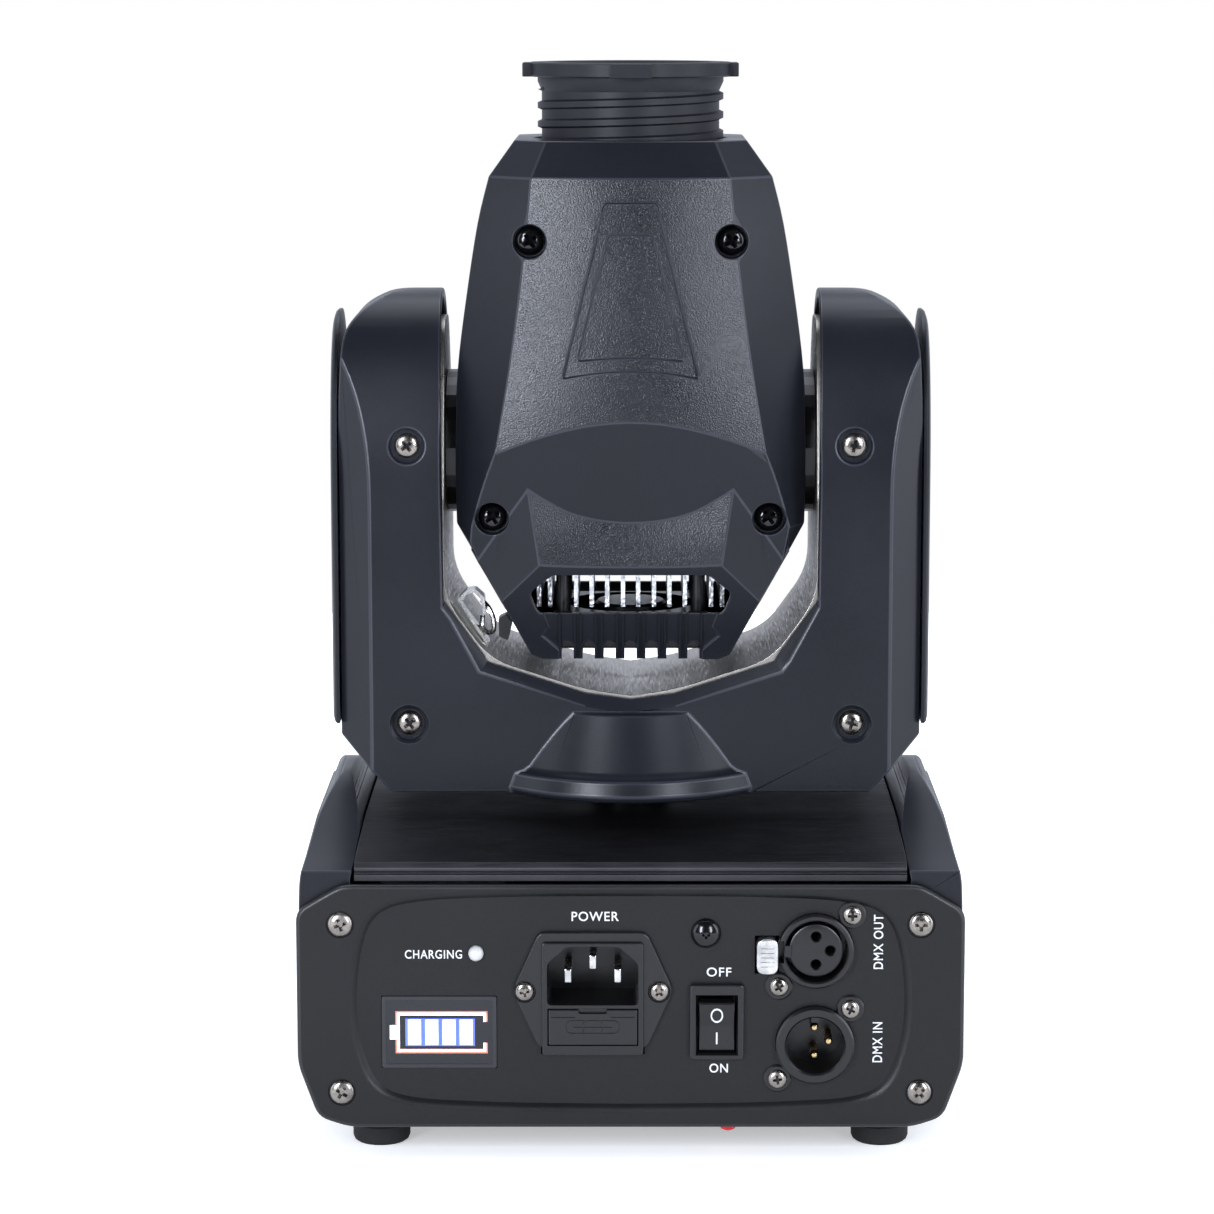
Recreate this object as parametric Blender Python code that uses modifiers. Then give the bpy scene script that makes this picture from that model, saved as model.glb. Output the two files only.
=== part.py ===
"""Battery-powered moving head spotlight: base, turning yoke and tilting head, as separate pieces.

Origin: on the floor under the pan axis. +Z is up, -Y faces the connector side, +X is to the
right when the connectors are looked at. All sizes below are in millimetres.
"""

import math

import bmesh
import bpy
from mathutils import Matrix, Vector

MM = 0.001
GAP = 0.3          # air left between pieces that touch on the real object
WALL = 2.3         # plastic wall thickness

# Base
BASE_HALF_WIDTH = 93.6
BASE_HALF_DEPTH = 80.0
BASE_BOTTOM = 9.1
PANEL_TOP = 79.1
PANEL_THICKNESS = 3.0
RECESS_DEPTH = 1.4
RAIL_CREST = 97.6
RAIL_INNER_X = 77.6
FOOT_RADIUS = 8.25
CLAMP_PAD_Z = 8.4
FOOT_X, FOOT_Y = 71.4, 60.0
FACE_Y = -BASE_HALF_DEPTH                       # the connector panel's outer face
RECESS_Y = FACE_Y + RECESS_DEPTH                # the floor of its recess
PANEL_BACK_Y = FACE_Y + PANEL_THICKNESS

# Fittings of the connector panel, as (x, z)
INLET = (-10.6, 48.9)
FUSE = (-10.5, 39.0)
SWITCH = (24.2, 39.0)
DMX_OUT = (51.9, 60.2)
DMX_IN = (51.8, 33.1)
PIN_CIRCLE = 4.0                                # radius that the three data pins stand on
LATCH = (38.3, 58.9)
CHARGING_LED = (-43.3, 59.3)
GAUGE = (-53.75, 36.6)
BATTERY_BUTTON = (27.6, -72.5)                  # (x, y), under the base
ROCKER_PIVOT_Y = -77.0
ROCKER_TILT = 10.0                              # degrees either side of level

# Menu side
DISPLAY = (-18.0, 50.0)
MENU_BUTTON_X = (22.0, 34.0, 46.0, 58.0)
MENU_BUTTON_Z = 50.0

# Pan drive, on the vertical axis
SHAFT_RADIUS, SHAFT_BORE = 12.0, 8.0
PAN_PULLEY_RADIUS = 20.0
PINION_RADIUS = 6.0
SHAFT_HOLE = 2.6                                # round the 2.2 mm motor shafts
PAN_PINION_Y = 45.0
BELT_THICKNESS = 1.2

# Yoke
YOKE_HALF_WIDTH = 84.3
YOKE_BOTTOM = 95.8
YOKE_TOP = 239.5
YOKE_HALF_DEPTH = 33.0
COVER_OUTER_X = 86.9
BRACKET_THICKNESS = 2.0
BRACKET_HALF_DEPTH = 30.0
TILT_Z = 194.8
CREASE_Z = 181.0
HUB_RADIUS = 21.0
TILT_PULLEY_RADIUS = 16.0
TILT_PINION_Z = 150.0

# Head
HEAD_HALF_WIDTH = 50.2
FIN_X = (2.2, 6.8, 11.3, 15.8, 23.4, 26.6)
FAN_RADIUS = 18.0
SLOT_PITCH = 6.1
FAN_HUB_RADIUS = 10.5
WHEEL_X = 18.0
WHEEL_RADIUS = 24.0
WHEEL_HOLES = 7
BARREL_CREST, BARREL_CORE, BARREL_BORE = 27.0, 25.5, 22.5
BARREL_LOW, BARREL_RING, BARREL_TOP = 248.0, 301.0, 305.2
THREAD_PITCH = 5.4
THREAD_END = 262.0
LUG_RADIUS = 31.3
BARREL_RING_RADIUS = 29.3

COLOURS = {
    "shell_plastic": ((0.030, 0.033, 0.042), 0.42, 0.0),
    "panel_plastic": ((0.022, 0.022, 0.024), 0.5, 0.0),
    "black_plastic": ((0.008, 0.008, 0.009), 0.35, 0.0),
    "black_sheet": ((0.012, 0.012, 0.013), 0.4, 0.8),
    "bracket_steel": ((0.42, 0.40, 0.37), 0.3, 1.0),
    "bright_metal": ((0.75, 0.75, 0.74), 0.25, 1.0),
    "rubber": ((0.01, 0.01, 0.01), 0.8, 0.0),
    "red_plastic": ((0.8, 0.01, 0.02), 0.3, 0.0),
    "lamp_lens": ((0.75, 0.75, 0.72), 0.2, 0.0),
    "gauge_glass": ((0.02, 0.02, 0.03), 0.15, 0.0),
    "board": ((0.02, 0.12, 0.05), 0.5, 0.0),
    "battery_wrap": ((0.03, 0.08, 0.30), 0.4, 0.0),
    "glass": ((0.85, 0.9, 0.95), 0.02, 0.0),
    "copper": ((0.7, 0.35, 0.2), 0.3, 1.0),
}


def start_scene():
    for item in list(bpy.data.objects):
        bpy.data.objects.remove(item, do_unlink=True)
    parts = bpy.data.collections.new("moving_head_light")
    cutters = bpy.data.collections.new("cutters")
    for group in (parts, cutters):
        bpy.context.scene.collection.children.link(group)
    return parts, cutters


PARTS, CUTTERS = start_scene()


def material(name, slot):
    colour, roughness, metallic = COLOURS[slot]
    finish = bpy.data.materials.new(name)
    finish.use_nodes = True
    shader = finish.node_tree.nodes["Principled BSDF"]
    shader.inputs["Base Color"].default_value = (*colour, 1.0)
    shader.inputs["Roughness"].default_value = roughness
    shader.inputs["Metallic"].default_value = metallic
    return finish


def place(item, name, slot):
    """Put an object in its collection: a part where it has a material slot, else a cutter."""
    item.name = name
    for group in list(item.users_collection):
        group.objects.unlink(item)
    if slot:
        PARTS.objects.link(item)
        item.data.materials.clear()
        item.data.materials.append(material(name, slot))
    else:
        CUTTERS.objects.link(item)
        item.hide_render = True
        item.display_type = "WIRE"
    return item


def bevel(item, width, segments=1):
    edge = item.modifiers.new("bevel", "BEVEL")
    edge.width = width * MM
    edge.segments = segments
    edge.limit_method = "ANGLE"
    edge.angle_limit = math.radians(30)
    return item


def combine(item, others, operation):
    for other in others:
        step = item.modifiers.new(operation.lower(), "BOOLEAN")
        step.operation = operation
        step.solver = "EXACT"
        step.object = other
    return item


def cut(item, *others):
    return combine(item, others, "DIFFERENCE")


def join(item, *others):
    return combine(item, others, "UNION")


def keep_common(item, *others):
    return combine(item, others, "INTERSECT")


def block(name, low, high, slot=None, round_edge=0.0):
    size = Vector(high) - Vector(low)
    middle = (Vector(high) + Vector(low)) / 2
    bpy.ops.mesh.primitive_cube_add(size=1, location=middle * MM)
    item = bpy.context.object
    item.data.transform(Matrix.Diagonal((*(size * MM), 1)))
    place(item, name, slot)
    return bevel(item, round_edge) if round_edge else item


TURN = {
    "X": Matrix(((0, 0, 1), (1, 0, 0), (0, 1, 0))),
    "Y": Matrix(((1, 0, 0), (0, 0, -1), (0, 1, 0))),
    "Z": Matrix.Identity(3),
}


def prism(name, outlines, low, high, axis, slot=None):
    """A flat outline, with holes where more than one is given, made thick from low to high.

    Outlines are (y, z) for axis X, (x, z) for axis Y and (x, y) for axis Z.
    """
    sheet = bpy.data.curves.new(name, "CURVE")
    sheet.dimensions = "2D"
    sheet.fill_mode = "BOTH"
    sheet.extrude = (high - low) / 2 * MM
    for outline in outlines:
        spline = sheet.splines.new("POLY")
        spline.points.add(len(outline) - 1)
        for point, (across, up) in zip(spline.points, outline):
            point.co = (across * MM, up * MM, 0, 1)
        spline.use_cyclic_u = True
    curve = bpy.data.objects.new(name, sheet)
    PARTS.objects.link(curve)
    middle = (low + high) / 2 * MM
    shift = {"X": (middle, 0, 0), "Y": (0, middle, 0), "Z": (0, 0, middle)}[axis]
    curve.matrix_world = Matrix.Translation(shift) @ TURN[axis].to_4x4()
    bpy.context.view_layer.update()
    seen = curve.evaluated_get(bpy.context.evaluated_depsgraph_get())
    mesh = bpy.data.meshes.new_from_object(seen)
    solid = bmesh.new()
    solid.from_mesh(mesh)
    bmesh.ops.remove_doubles(solid, verts=solid.verts, dist=1e-6)
    bmesh.ops.recalc_face_normals(solid, faces=solid.faces)
    solid.to_mesh(mesh)
    solid.free()
    item = bpy.data.objects.new(name, mesh)
    item.matrix_world = curve.matrix_world.copy()
    PARTS.objects.link(item)
    bpy.data.objects.remove(curve, do_unlink=True)
    return place(item, name, slot)


def turned(name, profile, centre, axis="Z", slot=None, steps=32, closed=False):
    """A turned shape. The profile is (radius, height), from the top down the outer side.

    A closed profile is a ring; an open one starts and ends on the axis.
    """
    mesh = bpy.data.meshes.new(name)
    count = len(profile)
    edges = [(i, i + 1) for i in range(count - 1)]
    if closed:
        edges.append((count - 1, 0))
    mesh.from_pydata([(r * MM, 0, h * MM) for r, h in profile], edges, [])
    item = bpy.data.objects.new(name, mesh)
    PARTS.objects.link(item)
    place(item, name, slot)
    spin = item.modifiers.new("screw", "SCREW")
    spin.axis = "Z"
    spin.angle = math.tau
    spin.steps = spin.render_steps = steps
    spin.use_merge_vertices = True
    spin.merge_threshold = 1e-6
    item.matrix_world = Matrix.Translation(Vector(centre) * MM) @ TURN[axis].to_4x4()
    return item


def drum(name, radius, low, high, centre=(0, 0), axis="Z", slot=None, steps=32):
    """A cylinder from low to high along an axis; centre is its place in the other two."""
    profile = [(0, high), (radius, high), (radius, low), (0, low)]
    if axis == "Y":
        profile = [(0, -low), (radius, -low), (radius, -high), (0, -high)]
    place_of = {"X": (0, *centre), "Y": (centre[0], 0, centre[1]), "Z": (*centre, 0)}
    return turned(name, profile, place_of[axis], axis, slot, steps)


def loft(name, sections, slot=None):
    """A solid through rings of points with equal counts, listed from the lowest up."""
    solid = bmesh.new()
    rings = [[solid.verts.new(Vector(p) * MM) for p in ring] for ring in sections]
    for lower, upper in zip(rings, rings[1:]):
        for i in range(len(lower)):
            j = (i + 1) % len(lower)
            solid.faces.new((lower[i], lower[j], upper[j], upper[i]))
    solid.faces.new(rings[0])
    solid.faces.new(rings[-1])
    bmesh.ops.recalc_face_normals(solid, faces=solid.faces)
    mesh = bpy.data.meshes.new(name)
    solid.to_mesh(mesh)
    solid.free()
    item = bpy.data.objects.new(name, mesh)
    PARTS.objects.link(item)
    return place(item, name, slot)


def arc(centre, radius, start, stop, count):
    """Points on an arc, with start and stop in degrees."""
    turns = [math.radians(start + (stop - start) * i / count) for i in range(count + 1)]
    return [(centre[0] + radius * math.cos(t), centre[1] + radius * math.sin(t)) for t in turns]


def both_sides(half):
    """The whole outline from its right half, which runs from the bottom up."""
    return half + [(-x, z) for x, z in reversed(half)]


def hang(pieces, name, at):
    """Parent moving pieces to an empty on their joint's axis."""
    pivot = bpy.data.objects.new(name, None)
    pivot.location = Vector(at) * MM
    PARTS.objects.link(pivot)
    for piece in pieces:
        piece.parent = pivot
        piece.matrix_parent_inverse = Matrix.Translation(-pivot.location)


# ---------------------------------------------------------------- base


def panel_outline():
    return both_sides([
        (79.1, BASE_BOTTOM), (88.0, 12.0), (BASE_HALF_WIDTH, 27.5), (BASE_HALF_WIDTH, 71.6),
        (84.1, 77.3), (80.4, PANEL_TOP),
    ])


def recess_outline():
    """The bowed, rounded recess that holds the fittings."""
    half = [(0, 15.5), (35.0, 15.9), (60.0, 17.0), (69.1, 19.5), (73.5, 25.0),
            (76.6, 36.0), (77.2, 46.3), (76.2, 58.0), (73.5, 68.0), (68.0, 73.0),
            (55.0, 75.0), (30.0, 75.8), (0, 75.9)]
    return half + [(-x, z) for x, z in reversed(half[1:-1])]


def inlet_body_outline():
    x, z = INLET
    return [(x - 14.2, z - 18.3), (x + 14.2, z - 18.3), (x + 14.2, z + 14.0), (x - 14.2, z + 14.0)]


def make_rear_panel():
    panel = prism("rear_panel", [panel_outline()], FACE_Y, PANEL_BACK_Y, "Y", "panel_plastic")
    cut(panel, prism("recess_cut", [recess_outline()], FACE_Y - 1, RECESS_Y, "Y"))
    x, z = INLET
    low, high = FACE_Y - 1, PANEL_BACK_Y + 1
    holes = [
        block("inlet_hole", (x - 14.6, low, z - 18.7), (x + 14.6, high, z + 14.4)),
        block("switch_hole", (SWITCH[0] - 7.2, low, SWITCH[1] - 10.4),
              (SWITCH[0] + 7.2, high, SWITCH[1] + 10.6)),
        drum("dmx_out_hole", 10.85, low, high, DMX_OUT, "Y"),
        drum("dmx_in_hole", 11.35, low, high, DMX_IN, "Y"),
        block("latch_hole", (LATCH[0] - 3.5, low, LATCH[1] - 5.5),
              (LATCH[0] + 3.5, high, LATCH[1] + 5.5)),
        drum("led_hole", 2.5, low, high, CHARGING_LED, "Y", steps=16),
        block("gauge_hole", (GAUGE[0] - 16.4, low, GAUGE[1] - 10.6),
              (GAUGE[0] + 16.4, high, GAUGE[1] + 10.6)),
    ]
    return cut(panel, *holes)


def make_front_panel():
    panel = prism("front_panel", [panel_outline()], -PANEL_BACK_Y, -FACE_Y, "Y", "panel_plastic")
    cut(panel, prism("front_recess_cut", [recess_outline()], -RECESS_Y, -FACE_Y + 1, "Y"))
    low, high = -PANEL_BACK_Y - 1, -FACE_Y + 1
    cut(panel, block("display_hole", (DISPLAY[0] - 20.4, low, DISPLAY[1] - 10.4),
                     (DISPLAY[0] + 20.4, high, DISPLAY[1] + 10.4)))
    for i, x in enumerate(MENU_BUTTON_X):
        cut(panel, drum(f"menu_hole_{i + 1}", 3.9, low, high, (x, MENU_BUTTON_Z), "Y", steps=20))
    return panel


def make_base_shell():
    depth = -PANEL_BACK_Y - GAP
    plate = block("base_bottom_plate", (-78, -depth, BASE_BOTTOM + GAP), (78, depth, 11.2),
                  "black_sheet")
    # The raised pad is what a clamp bracket is screwed against.
    join(plate, block("clamp_pad", (-40, -30, CLAMP_PAD_Z), (40, 30, 10.5)))
    x, y = BATTERY_BUTTON
    cut(plate, drum("battery_button_hole", 3.1, 8, 13, (x, y), steps=20))

    ridge = [(-depth, 82.5), (-50, 88.0), (-27, 95.4), (-12, RAIL_CREST)]
    arch = [(-depth, 8)] + ridge + [(-y, z) for y, z in reversed(ridge)]
    arch.append((depth, 8))
    for side, name in ((-1, "left"), (1, "right")):
        section = [(78.4, 9.6), (87.5, 12.4), (93.2, 28.0), (93.2, 72.0), (92.9, 80.0),
                   (91.2, 90.0), (87.0, 93.5), (84.5, RAIL_CREST), (82.0, RAIL_CREST),
                   (RAIL_INNER_X, 88.0), (RAIL_INNER_X, 84.0), (78.4, 80.0)]
        hollow = [(60, 14), (86.3, 14.8), (90.7, 28.6), (90.7, 70.0), (80.5, 79.0), (60, 79.0)]
        outline = [(side * x, z) for x, z in section]
        inside = [(side * x, z) for x, z in hollow]
        cheek = prism(f"base_cheek_{name}", [outline], -depth, depth, "Y", "shell_plastic")
        keep_common(cheek, prism(f"arch_{name}", [arch], -100, 100, "X"))
        cut(cheek, prism(f"cheek_hollow_{name}", [inside], -depth + WALL, depth - WALL, "Y"))

    # The sheet is folded down at its front and rear edge, where it makes a lip.
    top = [(-77.6, 84.6), (-70, 86.0), (-30, 88.8), (30, 88.8), (70, 86.0), (77.6, 84.6)]
    under = [(77.6, 79.6), (75.8, 79.6), (75.8, 83.2), (70, 84.6), (30, 87.4),
             (-30, 87.4), (-70, 84.6), (-75.8, 83.2), (-75.8, 79.6), (-77.6, 79.6)]
    half = RAIL_INNER_X - GAP
    cover = prism("base_top_cover", [top + under], -half, half, "X", "black_sheet")
    cut(cover, drum("pan_hole", SHAFT_RADIUS + 2.0, 80, 95))
    for i, (x, y) in enumerate(((-1, -1), (1, -1), (-1, 1), (1, 1))):
        profile = [(0, BASE_BOTTOM), (FOOT_RADIUS, BASE_BOTTOM), (FOOT_RADIUS, 2.0),
                   (FOOT_RADIUS - 1.2, 0), (0, 0)]
        turned(f"foot_{i + 1}", profile, (x * FOOT_X, y * FOOT_Y, 0), slot="rubber", steps=24)


def hexagon(x, z, half_width, half_height, flat):
    return [(x - half_width, z), (x - flat, z + half_height), (x + flat, z + half_height),
            (x + half_width, z), (x + flat, z - half_height), (x - flat, z - half_height)]


def make_inlet():
    x, z = INLET
    flange = hexagon(x, z, 22.6, 16.7, 15.1)
    inlet = prism("power_inlet", [flange], -80.2, RECESS_Y - GAP, "Y", "black_plastic")
    body = prism("inlet_body", [inlet_body_outline()], -81.5, -55.0, "Y")
    join(inlet, body)
    mouth = [(x - 12.8, 45.0), (x + 12.8, 45.0), (x + 12.8, 57.0), (x + 7.3, 61.9),
             (x - 7.3, 61.9), (x - 12.8, 57.0)]
    fuse_slot = block("fuse_slot", (x - 12.7, -83, 33.3), (x + 12.8, -59, 44.1))
    cut(inlet, prism("inlet_mouth", [mouth], -83, -62, "Y"), fuse_slot)
    pins = ((x - 7.0, 52.0), (x + 7.0, 52.0), (x, 56.0))
    for i, (px, pz) in enumerate(pins):
        join(inlet, block(f"inlet_pin_{i + 1}", (px - 1.0, -76.0, pz - 2.0), (px + 1.0, -60, pz + 2.0)))
    drawer = block("fuse_drawer", (x - 12.4, -81.8, 33.6), (x + 12.5, -60, 43.8), "black_plastic", 0.4)
    cut(drawer, block("fuse_bay", (x - 9, -78, 36), (x + 9, -62, 45)))
    hang([drawer], "fuse_drawer_axis", (FUSE[0], -81.8, FUSE[1]))


def make_switch():
    x, z = SWITCH
    frame = block("power_switch_frame", (x - 7.6, -80.6, z - 10.0),
                  (x + 7.6, RECESS_Y - GAP, z + 11.6), "black_plastic")
    join(frame, block("switch_body", (x - 6.9, -79.5, z - 9.5), (x + 6.9, -62, z + 10.2)))
    cut(frame, block("switch_well", (x - 5.4, -83, z - 8.2), (x + 5.4, -69, z + 8.2)))
    face = [(-3.5, -7.4), (-2.5, 0), (-3.5, 7.4), (2.0, 6.4), (5.5, 0), (2.0, -6.4)]
    rocker = prism("power_rocker", [face], x - 5.0, x + 5.0, "X", "black_plastic")
    tilt = Matrix.Rotation(math.radians(ROCKER_TILT), 4, "X")
    shift = Matrix.Translation(Vector((0, ROCKER_PIVOT_Y, z)) * MM)
    rocker.matrix_world = shift @ tilt @ rocker.matrix_world
    hang([rocker], "power_rocker_axis", (x, ROCKER_PIVOT_Y, z))


def around(centre, radius, degrees):
    t = math.radians(degrees)
    return centre[0] + radius * math.cos(t), centre[1] + radius * math.sin(t)


def make_data_connectors():
    x, z = DMX_OUT
    back, front = 56.0, 81.2
    profile = [(0, 79.8), (7.5, 79.8), (7.5, 70.0), (8.8, 70.0), (8.8, front), (10.55, front),
               (10.55, back), (0, back)]
    out = turned("dmx_out_shell", profile, (x, 0, z), "Y", "black_plastic")
    for i, degrees in enumerate((90, 0, -90)):
        spot = around(DMX_OUT, PIN_CIRCLE, degrees)
        cut(out, drum(f"dmx_out_socket_{i + 1}", 1.35, -90, -70, spot, "Y", steps=12))
    x, z = DMX_IN
    profile = [(0, 66.0), (8.1, 66.0), (8.1, front), (11.05, front), (11.05, back), (0, back)]
    cup = turned("dmx_in_shell", profile, (x, 0, z), "Y", "black_plastic")
    for i, degrees in enumerate((90, 0, -90)):
        spot = around(DMX_IN, PIN_CIRCLE, degrees)
        join(cup, drum(f"dmx_in_pin_{i + 1}", 1.2, -75.5, -62, spot, "Y", steps=12))
    x, z = LATCH
    latch = block("dmx_out_latch", (x - 3.1, -81.6, z - 5.1), (x + 3.0, -76.4, z + 5.1), "bright_metal", 0.6)
    hang([latch], "dmx_latch_axis", (x, -81.6, z))


def make_indicators():
    profile = [(0, 80.6), (1.5, 80.1), (2.15, 79.0), (2.15, 76.0), (0, 76.0)]
    turned("charging_led", profile, (CHARGING_LED[0], 0, CHARGING_LED[1]), "Y", "lamp_lens", 16)
    x, z = GAUGE
    block("battery_gauge", (x - 16.1, -78.9, z - 10.3), (x + 16.1, -76.5, z + 10.3), "gauge_glass")
    x, y = BATTERY_BUTTON
    profile = [(0, 14.0), (2.6, 14.0), (2.6, 8.0), (1.8, 6.7), (0, 6.3)]
    button = turned("battery_button", profile, (x, y, 0), slot="red_plastic", steps=20)
    hang([button], "battery_button_axis", (x, y, 6.3))


def make_menu():
    x, z = DISPLAY
    block("display_window", (x - 20.0, 76.5, z - 10.0), (x + 20.0, 79.2, z + 10.0), "gauge_glass")
    for i, bx in enumerate(MENU_BUTTON_X):
        profile = [(0, -73.5), (3.5, -73.5), (3.5, -79.9), (2.9, -80.5), (0, -80.5)]
        at = (bx, 0, MENU_BUTTON_Z)
        button = turned(f"menu_button_{i + 1}", profile, at, "Y", "black_plastic", 20)
        hang([button], f"menu_button_{i + 1}_axis", (bx, 80.5, MENU_BUTTON_Z))


def belt_outline(far, far_radius, near_radius, count=12):
    """A belt round two pulleys: one at the origin, one at a distance along the second axis."""
    lean = math.degrees(math.asin((near_radius - far_radius) / far))
    return (arc((0, 0), near_radius, 180 - lean, 360 + lean, count)
            + arc((0, far), far_radius, lean, 180 - lean, count))


def belt(name, far, far_radius, near_radius, low, high, axis, centre, slot):
    """The belt runs GAP outside both pulleys; a negative distance puts the far one below."""
    sign = 1 if far > 0 else -1
    rings = [belt_outline(abs(far), far_radius + grow, near_radius + grow)
             for grow in (GAP + BELT_THICKNESS, GAP)]
    outlines = [[(centre[0] + a, centre[1] + sign * b) for a, b in ring] for ring in rings]
    return prism(name, outlines, low, high, axis, slot)


def motor(name, low, high, middle, posts, post_end, slot):
    """A square stepper motor with four posts, which reach along one axis to post_end."""
    item = block(name, low, high, slot, 0.8)
    way = [abs(reach) > 0 for reach in post_end].index(True)
    axis = "XYZ"[way]
    end = post_end[way]
    start = (low if axis == "X" else high)[way]
    reach = sorted((start + (1 if end < start else -1), end))
    for i, (a, b) in enumerate(((-1, -1), (1, -1), (-1, 1), (1, 1))):
        at = (middle[0] + a * posts, middle[1] + b * posts)
        join(item, drum(f"{name}_post_{i + 1}", 2.2, *reach, at, axis, steps=10))
    depth = sorted((start + (2 if end > start else -2), start + (-9 if end > start else 9)))
    cut(item, drum(f"{name}_bore", SHAFT_HOLE, *depth, middle, axis, steps=16))
    return item


def pinion(name, low, high, shaft_end, centre, axis, slot):
    """A small belt pulley with flanges, on the motor's shaft, which is part of it."""
    down = shaft_end < low
    rim = PINION_RADIUS
    profile = [(0, high), (rim, high), (rim, low), (2.2, low), (2.2, shaft_end), (0, shaft_end)]
    if not down:
        profile = [(0, shaft_end), (2.2, shaft_end), (2.2, high), (rim, high), (rim, low), (0, low)]
    place_of = {"X": (0, *centre), "Z": (*centre, 0)}[axis]
    return turned(name, profile, place_of, axis, slot, 24)


def make_base_insides():
    block("battery_pack", (-78, -44, 12.0), (-36, 60, 58), "battery_wrap", 2.0)
    supply = block("power_supply_board", (34, -44, 15.0), (76, 60, 17.0), "board")
    parts = (((40, -38), (58, -18), 42), ((60, -40), (74, -30), 34),
             ((42, 0), (66, 24), 46), ((46, 34), (72, 50), 36))
    for i, ((x0, y0), (x1, y1), top) in enumerate(parts):
        join(supply, block(f"supply_part_{i + 1}", (x0, y0, 16), (x1, y1, top)))
    for i, (x, y) in enumerate(((37, -41), (73, -41), (37, 57), (73, 57))):
        join(supply, drum(f"supply_post_{i + 1}", 2.0, 11.5, 16, (x, y), steps=10))
    control = block("control_board", (-42, 67.0, 20), (66, 68.6, 70), "board")
    for i, (x, z) in enumerate(((-39, 23), (63, 23), (-39, 67), (63, 67))):
        join(control, drum(f"control_post_{i + 1}", 2.0, 68, 76.7, (x, z), "Y", steps=10))
    bridge = block("base_bridge", (-76.5, -30, 80.6), (76.5, 70, 82.2), "black_sheet")
    cut(bridge, drum("bridge_hole", SHAFT_RADIUS + GAP, 79, 84))
    half = 17.5
    middle = (0, PAN_PINION_Y)
    motor("pan_motor", (-half, PAN_PINION_Y - half, 40), (half, PAN_PINION_Y + half, 69), middle,
          half - 2.0, (0, 0, 80.3), "black_plastic")
    drive = pinion("pan_pinion", 72.0, 78.0, 62.0, middle, "Z", "bright_metal")
    hang([drive], "pan_pinion_axis", (*middle, 72.0))
    belt("pan_belt", PAN_PINION_Y, PINION_RADIUS, PAN_PULLEY_RADIUS, 73.0, 77.0, "Z", (0, 0), "rubber")


# ---------------------------------------------------------------- yoke


def inner_curve(grow=0.0):
    """The inside of the U, right half, from the middle of its floor up; grow makes it wider."""
    slope = grow * 0.45
    return [(0, 123.7 - grow), (13.0, 125.5 - grow), (40.9 + slope, 134.5 - grow),
            (53.8 + grow, 152.4 - slope)]


def yoke_outline(inset=0.0):
    """The U of a yoke shell. Inset gives its hollow, which is open towards the inside of the U."""
    top = YOKE_TOP - inset
    outer = [(69.3 - inset * 0.5, YOKE_BOTTOM + inset), (YOKE_HALF_WIDTH - inset, 111.5 + inset * 0.5),
             (YOKE_HALF_WIDTH - inset, 205.0), (83.0 - inset, 228.0 - inset * 0.5),
             (78.4 - inset, 234.4 - inset), (68.6, top)]
    into = -3.0 if inset else 0.0
    opening = [(54.8 + into, top)] + list(reversed(inner_curve(into)))
    half = outer + opening
    return half + [(-x, z) for x, z in reversed(half[:-1])]


def arm_side_outline(inset=0.0):
    """The arm seen from the side: upright up to a crease, then round to its top."""
    depth = YOKE_HALF_DEPTH - inset
    rise = YOKE_TOP - inset - CREASE_Z
    turns = [math.radians(90 * i / 7) for i in range(8)]
    half = [(depth, 80.0)]
    half += [(depth * math.cos(t) ** 0.8, CREASE_Z + rise * math.sin(t) ** 0.9) for t in turns[:-1]]
    half.append((4.0, YOKE_TOP - inset))
    return half + [(-y, z) for y, z in reversed(half)]


def plan_outline(inset=0.0):
    """The yoke from above, with its chamfered outer edges, and room for the cone in the middle."""
    depth = YOKE_HALF_DEPTH - inset
    side = YOKE_HALF_WIDTH - inset
    edge = 75.0 - inset * 0.4
    half = [(edge - 2.4, -depth - 18), (edge - 2.4, -depth - 2.0), (side + 1, -24.5 + inset * 0.4)]
    corner = half + [(x, -y) for x, y in reversed(half)]
    return corner + [(-x, y) for x, y in reversed(corner)]


def cone_profile(inset=0.0):
    top = 119.1 - inset
    foot = 95.3 + inset
    return [(0, top), (36.9 - inset, top), (43.9 - inset, 103.6), (46.9 - inset, 101.3),
            (48.0 - inset, 97.2), (47.0 - inset, foot), (0, foot)]


def yoke_form(name, inset, slot=None):
    form = prism(name, [yoke_outline(inset)], -50, 50, "Y", slot)
    keep_common(form, prism(f"{name}_side", [arm_side_outline(inset)], -100, 100, "X"),
                prism(f"{name}_plan", [plan_outline(inset)], 60, 260, "Z"))
    return join(form, turned(f"{name}_cone", cone_profile(inset), (0, 0, 0), steps=36))


def make_yoke_shells():
    for side, name in ((-1, "rear"), (1, "front")):
        shell = yoke_form(f"yoke_{name}_shell", 0.0, "shell_plastic")
        cut(shell, yoke_form(f"{name}_shell_hollow", WALL))
        low, high = sorted((side * GAP / 2, -side * 100))
        cut(shell, block(f"{name}_half_cut", (-120, low, 60), (120, high, 260)))
        cut(shell, drum(f"{name}_shaft_hole", SHAFT_RADIUS + 1.5, 90, 112))


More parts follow.
